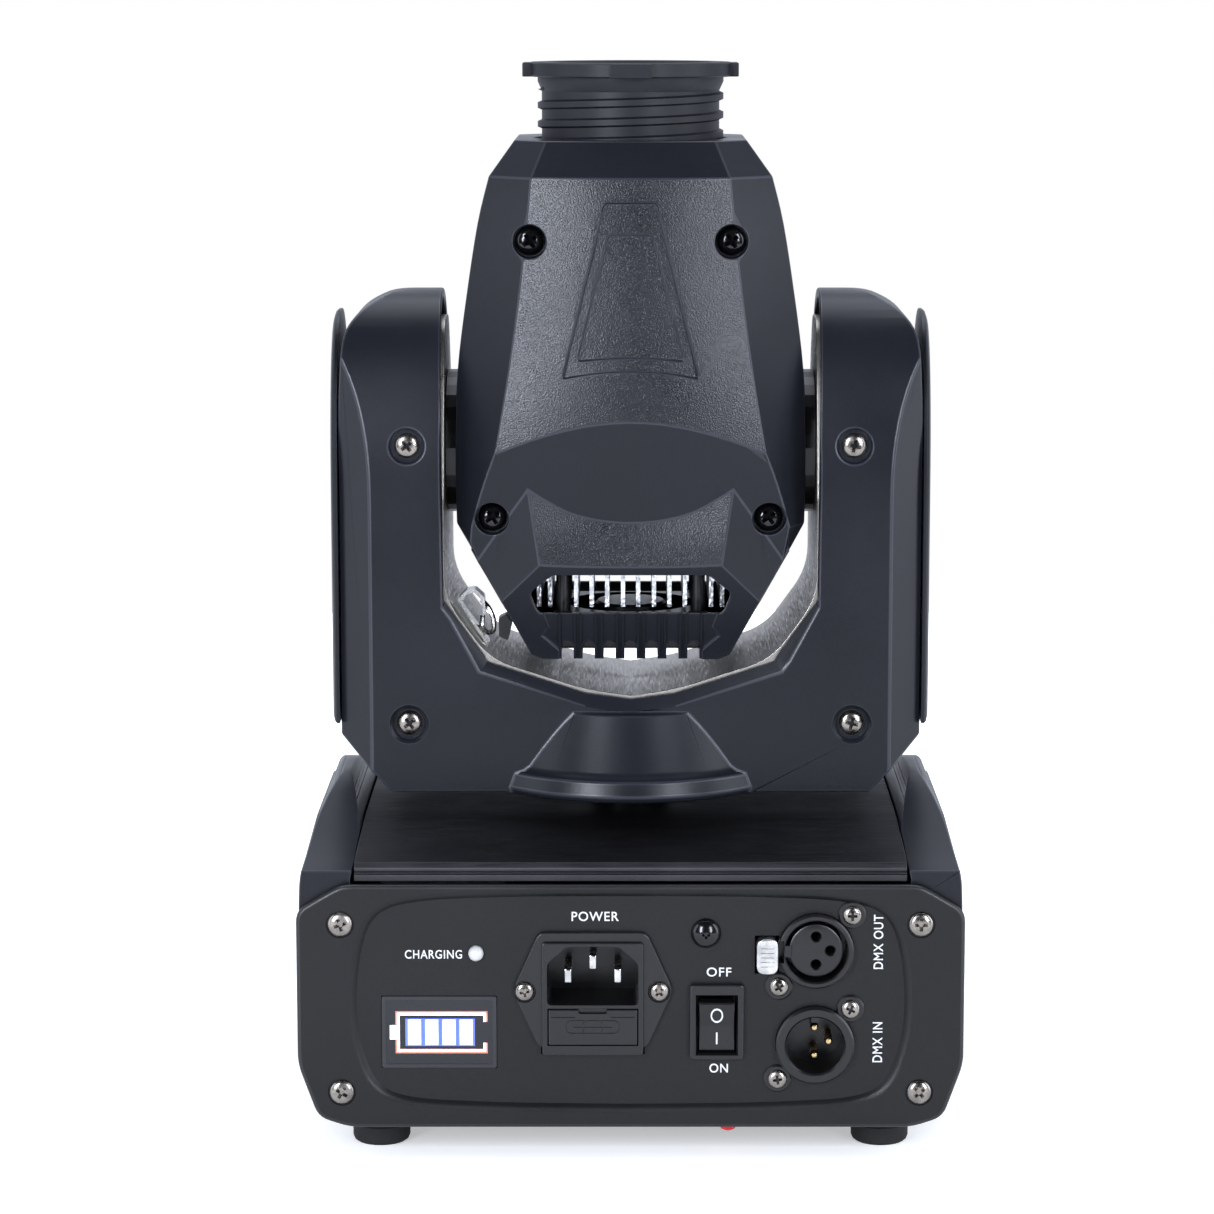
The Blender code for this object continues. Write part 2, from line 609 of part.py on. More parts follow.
def make_bracket():
    top = 232.0
    inside = inner_curve() + [(53.8, top)]
    outside = inner_curve(BRACKET_THICKNESS) + [(53.8 + BRACKET_THICKNESS, top)]
    right = outside + list(reversed(inside))
    left = [(-x, z) for x, z in inside[1:]] + [(-x, z) for x, z in reversed(outside[1:])]
    bracket = prism("yoke_bracket", [right + left], -BRACKET_HALF_DEPTH, BRACKET_HALF_DEPTH, "Y",
                    "bracket_steel")
    ears = both_sides([(31, 100), (31, 176), (26, 200), (21, 216), (11, 231.5)])
    keep_common(bracket, prism("bracket_ears", [ears], -80, 80, "X"))
    return cut(bracket, drum("tilt_holes", 10.3, -80, 80, (0, TILT_Z), "X"),
               drum("bracket_cable_hole", SHAFT_BORE, 115, 130))


def make_arm_covers():
    for side, name in ((-1, "left"), (1, "right")):
        outline = [(y, max(z, 115.0)) for y, z in arm_side_outline(6.0)]
        near, far = YOKE_HALF_WIDTH + GAP, COVER_OUTER_X
        low, high = sorted((side * near, side * far))
        cover = prism(f"yoke_{name}_cover", [outline], low, high, "X", "shell_plastic")
        bevel(cover, 1.6)


def make_pan_shaft():
    profile = [(24.0, 121.2), (24.0, 119.2), (SHAFT_RADIUS, 119.2), (SHAFT_RADIUS, 68.0),
               (SHAFT_BORE, 68.0), (SHAFT_BORE, 121.2)]
    turned("pan_shaft", profile, (0, 0, 0), slot="bright_metal", closed=True)
    inner = SHAFT_RADIUS + GAP
    profile = [(PAN_PULLEY_RADIUS, 78.0), (PAN_PULLEY_RADIUS, 72.0), (inner, 72.0), (inner, 78.0)]
    turned("pan_pulley", profile, (0, 0, 0), slot="black_plastic", closed=True)


def make_tilt_drive():
    half = 17.5
    middle = (0, TILT_PINION_Z)
    motor("tilt_motor", (68.0, -half, TILT_PINION_Z - half), (81.5, half, TILT_PINION_Z + half),
          middle, half - 2.0, (56.2, 0, 0), "black_plastic")
    drive = pinion("tilt_pinion", 59.5, 65.5, 74.0, middle, "X", "bright_metal")
    hang([drive], "tilt_pinion_axis", (59.5, *middle))
    belt("tilt_belt", TILT_PINION_Z - TILT_Z, PINION_RADIUS, TILT_PULLEY_RADIUS, 60.5, 64.5, "X",
         (0, TILT_Z), "rubber")


def make_cable_clip():
    """A bent tab on the bracket's left slope that holds the head's cable."""
    clip = block("cable_clip", (-48.5, -20.0, 141.0), (-38.5, -13.0, 150.0), "bright_metal")
    slope = [(-60, 164.0), (-53.6, 153.0), (-40.7, 135.2), (-30, 132), (-30, 120), (-60, 120)]
    lip = [(-60, 170), (-51.0, 154.8), (-46.0, 148.2), (-41.0, 148.2), (-41.0, 141.5),
           (-38.0, 137.6), (-20, 160), (-50, 190)]
    return cut(clip, prism("clip_slope", [slope], -40, 0, "Y"), prism("clip_lip", [lip], -40, 0, "Y"))


# ---------------------------------------------------------------- head

# Height, half-width at the seam, depth where the side facet starts, the central panel's
# half-width, and its depth at the edge and at the middle.
HEAD_SECTIONS = (
    (133.5, 27.0, 13.0, 19.0, 24.0, 25.0),
    (135.1, 28.9, 14.0, 20.5, 25.0, 26.0),
    (150.6, 36.7, 18.0, 24.5, 32.0, 33.0),
    (163.2, 44.0, 20.0, 27.0, 38.2, 38.8),
    (173.8, HEAD_HALF_WIDTH, 22.0, 36.0, 37.5, 38.0),
    (200.0, HEAD_HALF_WIDTH, 24.0, 37.7, 42.0, 46.0),
    (218.3, 49.7, 24.0, 34.5, 41.5, 45.5),
    (239.0, 47.1, 24.0, 31.5, 40.5, 44.0),
    (259.7, 43.8, 24.0, 29.8, 38.5, 42.0),
    (274.5, 40.1, 24.0, 28.2, 36.5, 39.5),
    (283.5, 33.1, 24.0, 24.0, 31.5, 33.5),
)


def head_ring(section, side, inset=0.0, seam=GAP / 2):
    z, width, side_depth, panel, edge, middle = section
    width, panel = width - inset, panel - inset * 0.5
    edge, middle = edge - inset, middle - inset
    crown = [(panel * t, middle - (middle - edge) * t * t) for t in (1.0, 0.6, 0.2)]
    right = [(width, seam), (width, side_depth)] + crown
    ring = [(x, y) for x, y in right] + [(-x, y) for x, y in reversed(right)]
    return [(x, side * y, z) for x, y in ring]


def make_head_shell(side, name):
    shell = loft(f"head_{name}_shell", [head_ring(s, side) for s in HEAD_SECTIONS], "shell_plastic")
    inside = [list(s) for s in HEAD_SECTIONS]
    inside[0][0] += WALL
    inside[-1][0] -= WALL
    cut(shell, loft(f"head_{name}_hollow", [head_ring(s, side, WALL, -5.0) for s in inside]))
    cut(shell, drum(f"{name}_barrel_hole", 28.2, 270, 290))
    cut(shell, drum(f"{name}_shaft_holes", 8.5, -60, 60, (0, TILT_Z), "X"))
    window = [(-28.6, 153.2), (-26.6, 148.1), (26.6, 148.1), (28.6, 153.2), (28.6, 154.8),
              (22.4, 160.0), (-22.4, 160.0), (-28.6, 154.8)]
    low, high = sorted((side * 24.0, side * 50.0))
    cut(shell, prism(f"{name}_window", [window], low, high, "Y"))
    low, high = sorted((side * 6.0, side * 40.0))
    for i in range(-3, 4):
        x = i * SLOT_PITCH
        slot = [(x - 1.75, 130), (x + 1.75, 130)] + arc((x, 137.5), 1.75, 0, 180, 6)
        cut(shell, prism(f"{name}_slot_{i + 4}", [slot], low, high, "Y"))
    return shell


def make_tilt_shafts():
    left = [(HUB_RADIUS, 53.5), (HUB_RADIUS, 50.6), (8.0, 50.6), (8.0, 45.0), (0, 45.0)]
    outer = [(0, 66.0), (8.0, 66.0), (8.0, 53.5)]
    mirrored = [(r, -h) for r, h in reversed(outer + left)]
    item = turned("tilt_shaft_left", mirrored, (0, 0, TILT_Z), "X", "black_plastic")
    wheel = [(0, 66.5), (TILT_PULLEY_RADIUS, 66.5), (TILT_PULLEY_RADIUS, 59.5), (8.0, 59.5),
             (8.0, 53.5)]
    other = turned("tilt_shaft_right", wheel + left, (0, 0, TILT_Z), "X", "black_plastic")
    return [item, other]


def make_lamp():
    fins = []
    edges = sorted([x for f in FIN_X for x in (f, -f)])
    for x in edges:
        fins += [(x - 0.6, 172.0), (x - 0.6, 148.6), (x + 0.6, 148.6), (x + 0.6, 172.0)]
    sink = [(-30, 176.0), (-30, 172.0)] + fins + [(30, 172.0), (30, 176.0)]
    heat_sink = prism("heat_sink", [sink], -22.5, 22.5, "Y", "bright_metal")
    board = drum("led_module", 14.0, 176.3, 178.3, slot="copper")
    lens = [(0, 189.0), (5.0, 188.3), (9.0, 186.2), (12.0, 183.0), (13.0, 179.8), (13.0, 178.6),
            (0, 178.6)]
    condenser = turned("condenser_lens", lens, (0, 0, 0), slot="glass")
    frame = block("fan_frame", (-20, -20, 136.6), (20, 20, 146.6), "black_plastic")
    cut(frame, drum("fan_hole", FAN_RADIUS + 0.8, 138.5, 150))
    for i, turn in enumerate((45, 135, 225, 315)):
        spot = around((0, 0), 13.2, turn)
        cut(frame, drum(f"fan_intake_{i + 1}", 4.4, 130, 140, spot, steps=16))
    return [heat_sink, board, condenser, frame]


def make_fan():
    hub = [(0, 147.2), (FAN_HUB_RADIUS - 0.8, 147.2), (FAN_HUB_RADIUS, 146.4),
           (FAN_HUB_RADIUS, 139.5), (0, 139.5)]
    rotor = turned("fan_rotor", hub, (0, 0, 0), slot="black_plastic")
    for i in range(7):
        blade = block(f"fan_blade_{i + 1}", (8.5, -0.6, 140.0), (FAN_RADIUS, 0.6, 146.0))
        spin = Matrix.Rotation(math.tau * i / 7, 4, "Z")
        pitch = Matrix.Rotation(math.radians(35), 4, "X")
        centre = Matrix.Translation(Vector(((8.5 + FAN_RADIUS) / 2, 0, 143)) * MM)
        blade.matrix_world = spin @ centre @ pitch
        join(rotor, blade)
    return rotor


def make_wheel(name, x, level, slot):
    """A flat wheel on its motor shaft, with one of its round windows on the light's axis."""
    profile = [(0, level + 2.6), (4.0, level + 2.6), (4.0, level + 1.0), (WHEEL_RADIUS, level + 1.0),
               (WHEEL_RADIUS, level), (2.0, level), (2.0, 205.0), (0, 205.0)]
    wheel = turned(name, profile, (x, 0, 0), slot=slot, steps=28)
    towards = 0 if x < 0 else 180
    for i in range(WHEEL_HOLES):
        spot = around((x, 0), WHEEL_X, towards + 360 * i / WHEEL_HOLES)
        cut(wheel, drum(f"{name}_window_{i + 1}", 5.0, level - 1, level + 2, spot, steps=10))
    hang([wheel], f"{name}_axis", (x, 0, level))
    return wheel


def make_effects():
    plate = block("effects_plate", (-45.5, -22, 212.0), (45.5, 22, 213.4), "black_sheet")
    cut(plate, drum("light_hole", 8.0, 210, 215))
    pieces = [plate]
    for name, x in (("colour_motor", -WHEEL_X), ("gobo_motor", WHEEL_X)):
        cut(plate, drum(f"{name}_shaft_hole", SHAFT_HOLE, 210, 215, (x, 0), steps=16))
        can = drum(name, 9.5, 196.0, 211.7, (x, 0), slot="bright_metal", steps=24)
        pieces.append(cut(can, drum(f"{name}_bore", SHAFT_HOLE, 203, 213, (x, 0), steps=16)))
    return pieces


def make_focus():
    inner = BARREL_CREST + 0.6
    ring = [(31.0, 279.0), (31.0, 262.0), (inner, 262.0), (inner, 279.0)]
    collar = turned("focus_collar", ring, (0, 0, 0), slot="black_plastic", steps=40, closed=True)
    outer = [(BARREL_RING_RADIUS, BARREL_TOP), (BARREL_RING_RADIUS, BARREL_RING),
             (BARREL_CORE, BARREL_RING)]
    z = BARREL_RING - 4.2
    while z > THREAD_END:
        outer += [(BARREL_CORE, z + 1.2), (BARREL_CREST, z + 0.6), (BARREL_CREST, z - 0.6),
                  (BARREL_CORE, z - 1.2)]
        z -= THREAD_PITCH
    outer += [(BARREL_CORE, BARREL_LOW), (BARREL_BORE, BARREL_LOW), (BARREL_BORE, BARREL_TOP)]
    barrel = turned("lens_barrel", outer, (0, 0, 0), slot="black_plastic", steps=24, closed=True)
    for i in range(4):
        lug = block(f"barrel_lug_{i + 1}", (26.5, -6.0, BARREL_RING), (LUG_RADIUS, 6.0, BARREL_TOP - 0.1))
        lug.matrix_world = Matrix.Rotation(math.tau * i / 4, 4, "Z") @ lug.matrix_world
        join(barrel, lug)
    r = BARREL_BORE - GAP
    lens = [(0, 294.0), (8.0, 293.3), (15.0, 291.5), (r, 288.5), (r, 286.5), (15.0, 283.5),
            (8.0, 281.7), (0, 281.0)]
    glass = turned("focus_lens", lens, (0, 0, 0), slot="glass")
    hang([barrel, glass], "focus_axis", (0, 0, BARREL_RING))
    return [collar]


def main():
    make_rear_panel()
    make_front_panel()
    make_base_shell()
    make_inlet()
    make_switch()
    make_data_connectors()
    make_indicators()
    make_menu()
    make_base_insides()

    make_yoke_shells()
    make_bracket()
    make_arm_covers()
    make_pan_shaft()
    make_tilt_drive()
    make_cable_clip()

    head = [make_head_shell(-1, "rear"), make_head_shell(1, "front")]
    head += make_tilt_shafts() + make_lamp() + make_effects() + make_focus()
    hang(head, "tilt_axis", (0, 0, TILT_Z))
    hang([make_fan()], "fan_axis", (0, 0, 143))
    make_wheel("colour_wheel", -WHEEL_X, 214.2, "glass")
    make_wheel("gobo_wheel", WHEEL_X, 218.2, "bright_metal")


main()
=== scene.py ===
"""Looks for a battery-powered moving head spotlight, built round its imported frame.

All sizes are in millimetres and use the frame's axes: +Z is up, -Y faces the connector side.
"""

import math

import bmesh
import bpy
from mathutils import Matrix, Vector
from mathutils.bvhtree import BVHTree


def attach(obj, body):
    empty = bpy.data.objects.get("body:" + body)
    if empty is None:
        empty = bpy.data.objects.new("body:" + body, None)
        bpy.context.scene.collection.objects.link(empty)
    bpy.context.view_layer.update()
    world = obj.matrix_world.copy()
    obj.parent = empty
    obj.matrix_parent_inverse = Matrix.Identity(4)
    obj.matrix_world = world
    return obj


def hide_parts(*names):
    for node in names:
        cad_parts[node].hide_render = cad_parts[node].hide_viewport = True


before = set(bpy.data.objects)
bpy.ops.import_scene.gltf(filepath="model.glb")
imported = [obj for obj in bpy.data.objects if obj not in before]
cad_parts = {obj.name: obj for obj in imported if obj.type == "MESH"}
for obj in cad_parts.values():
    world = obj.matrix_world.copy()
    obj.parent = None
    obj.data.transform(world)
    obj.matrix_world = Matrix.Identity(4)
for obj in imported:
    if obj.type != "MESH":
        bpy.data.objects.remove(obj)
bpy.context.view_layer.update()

MM = 0.001
SCENE = bpy.context.scene
RECESS_Y = -78.6          # floor of the panel's recess
TILT_Z = 194.8
WALL = 2.3

# Fittings of the connector panel, as (x, z)
INLET = (-10.6, 48.9)
SWITCH = (24.2, 39.0)
DMX_OUT = (51.9, 60.2)
DMX_IN = (51.8, 33.1)
LATCH = (38.3, 58.9)
CHARGING_LED = (-43.3, 59.3)
GAUGE = (-53.75, 36.6)
DOME_SCREW = (21.1, 65.1)
PANEL_SCREW_X, PANEL_SCREW_Z = 81.2, (67.9, 19.5)
MENU_X = (22.0, 34.0, 46.0, 58.0)
ROCKER_PIVOT_Y = -77.0
ROCKER_TILT = 10.0

EDGE_SLOT = 1             # material slot of the rounded edges
GRAIN_SLOT = 2            # material slot of the grained areas
PULL_BACK = 0.6           # a bevel's point may stand this share of its width off the form


# ---------------------------------------------------------------- mesh helpers


def add_object(name, mesh):
    item = bpy.data.objects.new(name, mesh)
    SCENE.collection.objects.link(item)
    return item


def from_bmesh(name, solid, merge=1e-6):
    bmesh.ops.remove_doubles(solid, verts=solid.verts, dist=merge)
    bmesh.ops.recalc_face_normals(solid, faces=solid.faces)
    mesh = bpy.data.meshes.new(name)
    solid.to_mesh(mesh)
    solid.free()
    return add_object(name, mesh)


def mesh_of(item):
    """The mesh that an object shows, with its modifiers applied."""
    bpy.context.view_layer.update()
    seen = item.evaluated_get(bpy.context.evaluated_depsgraph_get())
    return bpy.data.meshes.new_from_object(seen)


def bake(item):
    """Apply an object's modifiers to its mesh."""
    mesh = mesh_of(item)
    item.modifiers.clear()
    old, item.data = item.data, mesh
    if old.users == 0:
        bpy.data.meshes.remove(old)
    return item


def combine(item, others, operation):
    for other in others:
        step = item.modifiers.new("step", "BOOLEAN")
        step.operation = operation
        step.solver = "EXACT"
        step.object = other
    bake(item)
    for other in others:
        bpy.data.objects.remove(other, do_unlink=True)
    return item


def cut(item, *others):
    return combine(item, others, "DIFFERENCE")


def join(item, *others):
    return combine(item, others, "UNION")


def keep_common(item, *others):
    return combine(item, others, "INTERSECT")


def clean(item, merge=0.02, split=False):
    """Merge the stray points that booleans leave behind; split the large faces if asked."""
    solid = bmesh.new()
    solid.from_mesh(item.data)
    bmesh.ops.remove_doubles(solid, verts=solid.verts, dist=merge * MM)
    bmesh.ops.dissolve_degenerate(solid, edges=solid.edges, dist=merge * MM)
    if split:
        bmesh.ops.triangulate(solid, faces=[f for f in solid.faces if len(f.verts) > 4])
    solid.to_mesh(item.data)
    solid.free()


def bevel(item, width, segments, angle):
    """Round the edges sharper than an angle; the rounded faces take the piece's edge finish, which on
    the plastics is painted lighter: rubbed wear and a painted highlight.
    """
    clean(item)
    solid = bmesh.new()
    solid.from_mesh(item.data)
    surface = BVHTree.FromBMesh(solid)
    solid.free()
    step = item.modifiers.new("bevel", "BEVEL")
    step.width = width * MM
    step.segments = segments
    step.limit_method = "ANGLE"
    step.angle_limit = math.radians(angle)
    step.use_clamp_overlap = False
    step.material = EDGE_SLOT
    while len(item.data.materials) < 2:
        item.data.materials.append(None)
    bake(item)
    # A short edge can throw a point off the form: such a point goes back to its surface.
    for vertex in item.data.vertices:
        near, _, _, gap = surface.find_nearest(vertex.co)
        if gap > PULL_BACK * width * MM:
            vertex.co = near
    return item


def weigh_normals(item):
    step = item.modifiers.new("normals", "WEIGHTED_NORMAL")
    step.keep_sharp = True
    return bake(item)


AXES = {
    "X": Matrix(((0, 0, 1), (1, 0, 0), (0, 1, 0))),
    "Y": Matrix(((1, 0, 0), (0, 0, -1), (0, 1, 0))),
    "Z": Matrix.Identity(3),
}


def along(axis, across, up, level):
    """A point from its two flat coordinates and its level along the axis."""
    return {
        "X": Vector((level, across, up)),
        "Y": Vector((across, level, up)),
        "Z": Vector((across, up, level)),
    }[axis] * MM


def prism(name, outline, low, high, axis):
    """A flat outline made thick; (y, z) for axis X, (x, z) for axis Y, (x, y) for axis Z."""
    return loft(name, [[along(axis, a, b, level) / MM for a, b in outline]
                       for level in (low, high)])


def loft(name, rings):
    """A closed solid through rings of points with equal counts."""
    solid = bmesh.new()
    made = [[solid.verts.new(Vector(p) * MM) for p in ring] for ring in rings]
    for lower, upper in zip(made, made[1:]):
        for i in range(len(lower)):
            j = (i + 1) % len(lower)
            solid.faces.new((lower[i], lower[j], upper[j], upper[i]))
    solid.faces.new(made[0])
    solid.faces.new(made[-1])
    return from_bmesh(name, solid)


def rectangle(x0, z0, x1, z1):
    return [(x0, z0), (x1, z0), (x1, z1), (x0, z1)]


def block(name, low, high):
    (x0, y0, z0), (x1, y1, z1) = low, high
    return prism(name, rectangle(x0, y0, x1, y1), z0, z1, "Z")


def turned(name, profile, centre, axis="Z", steps=64, closed=False):
    """A turned solid from (radius, height) points; open profiles start and end on the axis."""
    solid = bmesh.new()
    spin = [math.tau * i / steps for i in range(steps)]
    place = AXES[axis]
    rows = []
    for radius, height in profile:
        if radius < 1e-6:
            rows.append([solid.verts.new((place @ Vector((0, 0, height)) + Vector(centre)) * MM)])
            continue
        rows.append([solid.verts.new((place @ Vector((radius * math.cos(t), radius * math.sin(t),
                                                      height)) + Vector(centre)) * MM)
                     for t in spin])
    pairs = list(zip(rows, rows[1:]))
    if closed:
        pairs.append((rows[-1], rows[0]))
    for upper, lower in pairs:
        for i in range(steps):
            j = (i + 1) % steps
            if len(upper) == 1:
                solid.faces.new((upper[0], lower[i], lower[j]))
            elif len(lower) == 1:
                solid.faces.new((upper[i], lower[0], upper[j]))
            else:
                solid.faces.new((upper[i], lower[i], lower[j], upper[j]))
    return from_bmesh(name, solid)


def drum(name, radius, low, high, centre=(0, 0), axis="Z", steps=48):
    """A cylinder from low to high along an axis; centre is its place in the other two."""
    ring = [(centre[0] + radius * math.cos(math.tau * i / steps),
             centre[1] + radius * math.sin(math.tau * i / steps)) for i in range(steps)]
    return prism(name, ring, low, high, axis)


def tube(name, points, radius):
    """A round bar along a line of points."""
    path = bpy.data.curves.new(name, "CURVE")
    path.dimensions = "3D"
    path.bevel_depth = radius * MM
    path.bevel_resolution = 2
    path.use_fill_caps = True
    spline = path.splines.new("BEZIER")
    spline.bezier_points.add(len(points) - 1)
    for knot, point in zip(spline.bezier_points, points):
        knot.co = Vector(point) * MM
        knot.handle_left_type = knot.handle_right_type = "AUTO"
    curve = add_object(name + "_path", path)
    mesh = mesh_of(curve)
    bpy.data.objects.remove(curve, do_unlink=True)
    return add_object(name, mesh)


def fuse(name, items):
    """Put several meshes in one object, keeping them as separate shells."""
    solid = bmesh.new()
    for item in items:
        solid.from_mesh(item.data)
    finishes = list(items[0].data.materials)
    mesh = bpy.data.meshes.new(name)
    solid.to_mesh(mesh)
    solid.free()
    for slot in finishes:
        mesh.materials.append(slot)
    for item in items:
        bpy.data.objects.remove(item, do_unlink=True)
    return add_object(name, mesh)


def soften(points, radius, count=5, which=None):
    """Round the corners of a closed outline; which names the corners, or all of them."""
    out = []
    total = len(points)
    for i, here in enumerate(points):
        before, after = Vector(points[i - 1]), Vector(points[(i + 1) % total])
        at = Vector(here)
        if which is not None and i not in which:
            out.append(tuple(at))
            continue
        reach_in = min(radius, 0.45 * (before - at).length)
        reach_out = min(radius, 0.45 * (after - at).length)
        start = at + (before - at).normalized() * reach_in
        stop = at + (after - at).normalized() * reach_out
        for k in range(count + 1):
            t = k / count
            out.append(tuple(start * (1 - t) ** 2 + at * 2 * t * (1 - t) + stop * t * t))
    return out


def both_sides(half):
    """The whole outline from its right half, which runs from the bottom up."""
    return half + [(-x, z) for x, z in reversed(half)]


def arc(centre, radius, start, stop, count):
    turns = [math.radians(start + (stop - start) * i / count) for i in range(count + 1)]
    return [(centre[0] + radius * math.cos(t), centre[1] + radius * math.sin(t)) for t in turns]


def grown(points, amount):
    """A closed convex-ish outline moved outwards by an amount."""
    middle = sum((Vector(p) for p in points), Vector((0, 0))) / len(points)
    out = []
    for i, here in enumerate(points):
        before, after = Vector(points[i - 1]), Vector(points[(i + 1) % len(points)])
        way = after - before
        normal = Vector((way.y, -way.x)).normalized()
        if normal.dot(Vector(here) - middle) < 0:
            normal = -normal
        out.append(tuple(Vector(here) + normal * amount))
    return out


# ---------------------------------------------------------------- finishes


class Shader:
    """A small wrapper that wires up one Principled material."""

    def __init__(self, name, colour, rough, metallic=0.0):
        self.material = bpy.data.materials.new(name)
        self.material.use_nodes = True
        self.tree = self.material.node_tree
        self.bsdf = self.tree.nodes["Principled BSDF"]
        self.rough = rough
        self.bsdf.inputs["Base Color"].default_value = (*colour, 1.0)
        self.bsdf.inputs["Roughness"].default_value = rough
        self.bsdf.inputs["Metallic"].default_value = metallic
        self.coords = self.tree.nodes.new("ShaderNodeTexCoord").outputs["Object"]
        self.height = None

    def node(self, kind, **settings):
        made = self.tree.nodes.new(kind)
        for key, value in settings.items():
            setattr(made, key, value)
        return made

    def link(self, source, target):
        self.tree.links.new(source, target)

    def noise(self, scale, detail=2.0, stretch=(1, 1, 1)):
        mapping = self.node("ShaderNodeMapping")
        mapping.inputs["Scale"].default_value = stretch
        self.link(self.coords, mapping.inputs["Vector"])
        made = self.node("ShaderNodeTexNoise")
        made.inputs["Scale"].default_value = scale
        made.inputs["Detail"].default_value = detail
        self.link(mapping.outputs[0], made.inputs["Vector"])
        return made.outputs["Fac"]

    def cells(self, scale, feature="F1"):
        made = self.node("ShaderNodeTexVoronoi", feature=feature)
        made.inputs["Scale"].default_value = scale
        self.link(self.coords, made.inputs["Vector"])
        return made.outputs["Distance"]

    def spread(self, value, low, high, start=0.3, stop=0.7):
        made = self.node("ShaderNodeMapRange")
        made.inputs["From Min"].default_value = start
        made.inputs["From Max"].default_value = stop
        made.inputs["To Min"].default_value = low
        made.inputs["To Max"].default_value = high
        self.link(value, made.inputs["Value"])
        return made.outputs[0]

    def tint(self, value, dark, light):
        """Base colour that runs from dark to light with a value from 0 to 1."""
        ramp = self.node("ShaderNodeValToRGB")
        ramp.color_ramp.elements[0].color = (*dark, 1.0)
        ramp.color_ramp.elements[1].color = (*light, 1.0)
        self.link(value, ramp.inputs["Fac"])
        self.link(ramp.outputs["Color"], self.bsdf.inputs["Base Color"])
        return self

    def vary_rough(self, value, spread):
        self.link(self.spread(value, self.rough - spread, self.rough + spread),
                  self.bsdf.inputs["Roughness"])
        return self

    def bump(self, value, depth, strength=1.0):
        """Relief of a depth in millimetres; later calls add to earlier ones."""
        made = self.node("ShaderNodeBump")
        made.inputs["Distance"].default_value = depth * MM
        made.inputs["Strength"].default_value = strength
        self.link(value, made.inputs["Height"])
        if self.height is not None:
            self.link(self.height, made.inputs["Normal"])
        self.height = made.outputs["Normal"]
        self.link(self.height, self.bsdf.inputs["Normal"])
        return self


def shade(colour, factor):
    return tuple(min(c * factor, 1.0) for c in colour)


def moulded(name, colour, rough, grain=0.05, size=2200.0, spark=1.0, specular=0.5):
    """Moulded plastic: fine spark-eroded grain, faint flow marks and uneven gloss."""
    made = Shader(name, colour, rough)
    fine = made.noise(size, 1.0)
    broad = made.noise(28.0, 3.0)
    mixed = made.node("ShaderNodeMath", operation="MULTIPLY_ADD")
    made.link(made.spread(fine, -0.5, 0.5, 0.35, 0.75), mixed.inputs[0])
    mixed.inputs[1].default_value = 0.55 * spark
    made.link(made.spread(broad, 0.35, 0.65), mixed.inputs[2])
    made.tint(mixed.outputs[0], shade(colour, 0.72), shade(colour, 1.0 + 0.45 * spark))
    made.vary_rough(broad, 0.04)
    made.bump(fine, grain)
    made.bsdf.inputs["Specular IOR Level"].default_value = specular
    return made.material


def brushed(name, colour, rough, stretch, depth=0.01, scale=900.0, anisotropic=0.5):
    """Metal brushed along one axis, with long scratches and a little staining."""
    made = Shader(name, colour, rough, 1.0)
    lines = made.noise(scale, 3.0, stretch)
    stains = made.noise(40.0, 4.0)
    made.tint(made.spread(stains, 0.0, 1.0), shade(colour, 0.78), shade(colour, 1.08))
    made.vary_rough(lines, 0.10)
    made.bump(lines, depth)
    made.bsdf.inputs["Anisotropic"].default_value = anisotropic
    return made.material


def plain_metal(name, colour, rough, grain=0.006):
    """Plated metal with fine scratches and dulled patches."""
    made = Shader(name, colour, rough, 1.0)
    patches = made.noise(350.0, 3.0)
    fine = made.noise(3000.0, 2.0)
    made.tint(made.spread(patches, 0.0, 1.0), shade(colour, 0.62), shade(colour, 1.1))
    made.vary_rough(patches, 0.09)
    made.bump(fine, grain)
    return made.material


def hammered(name, colour, rough):
    """Rough cast aluminium with a pitted surface."""
    made = Shader(name, colour, rough, 1.0)
    pits = made.cells(900.0)
    broad = made.noise(600.0, 3.0)
    made.tint(made.spread(broad, 0.0, 1.0), shade(colour, 0.7), shade(colour, 1.1))
    made.vary_rough(broad, 0.1)
    made.bump(pits, 0.25)
    return made.material


def glassy(name, colour, rough, transmission=1.0):
    made = Shader(name, colour, rough)
    smear = made.noise(60.0, 3.0)
    made.vary_rough(smear, rough * 0.5)
    made.bump(made.noise(300.0, 1.0), 0.002)
    made.bsdf.inputs["Transmission Weight"].default_value = transmission
    made.bsdf.inputs["IOR"].default_value = 1.49
    return made.material


def glowing(name, colour, strength):
    """A lit segment behind the gauge window, a little uneven like real backlighting."""
    made = Shader(name, colour, 0.4)
    uneven = made.noise(260.0, 2.0)
    ramp = made.node("ShaderNodeValToRGB")
    ramp.color_ramp.elements[0].color = (*shade(colour, 0.86), 1.0)
    ramp.color_ramp.elements[1].color = (*colour, 1.0)
    made.link(made.spread(uneven, 0.0, 1.0), ramp.inputs["Fac"])
    made.link(ramp.outputs["Color"], made.bsdf.inputs["Base Color"])
    made.link(ramp.outputs["Color"], made.bsdf.inputs["Emission Color"])
    made.bsdf.inputs["Emission Strength"].default_value = strength
    return made.material


CHARCOAL = (0.0085, 0.0094, 0.0132)
PANEL_BLACK = (0.0058, 0.0058, 0.0063)
JET = (0.0050, 0.0050, 0.0055)
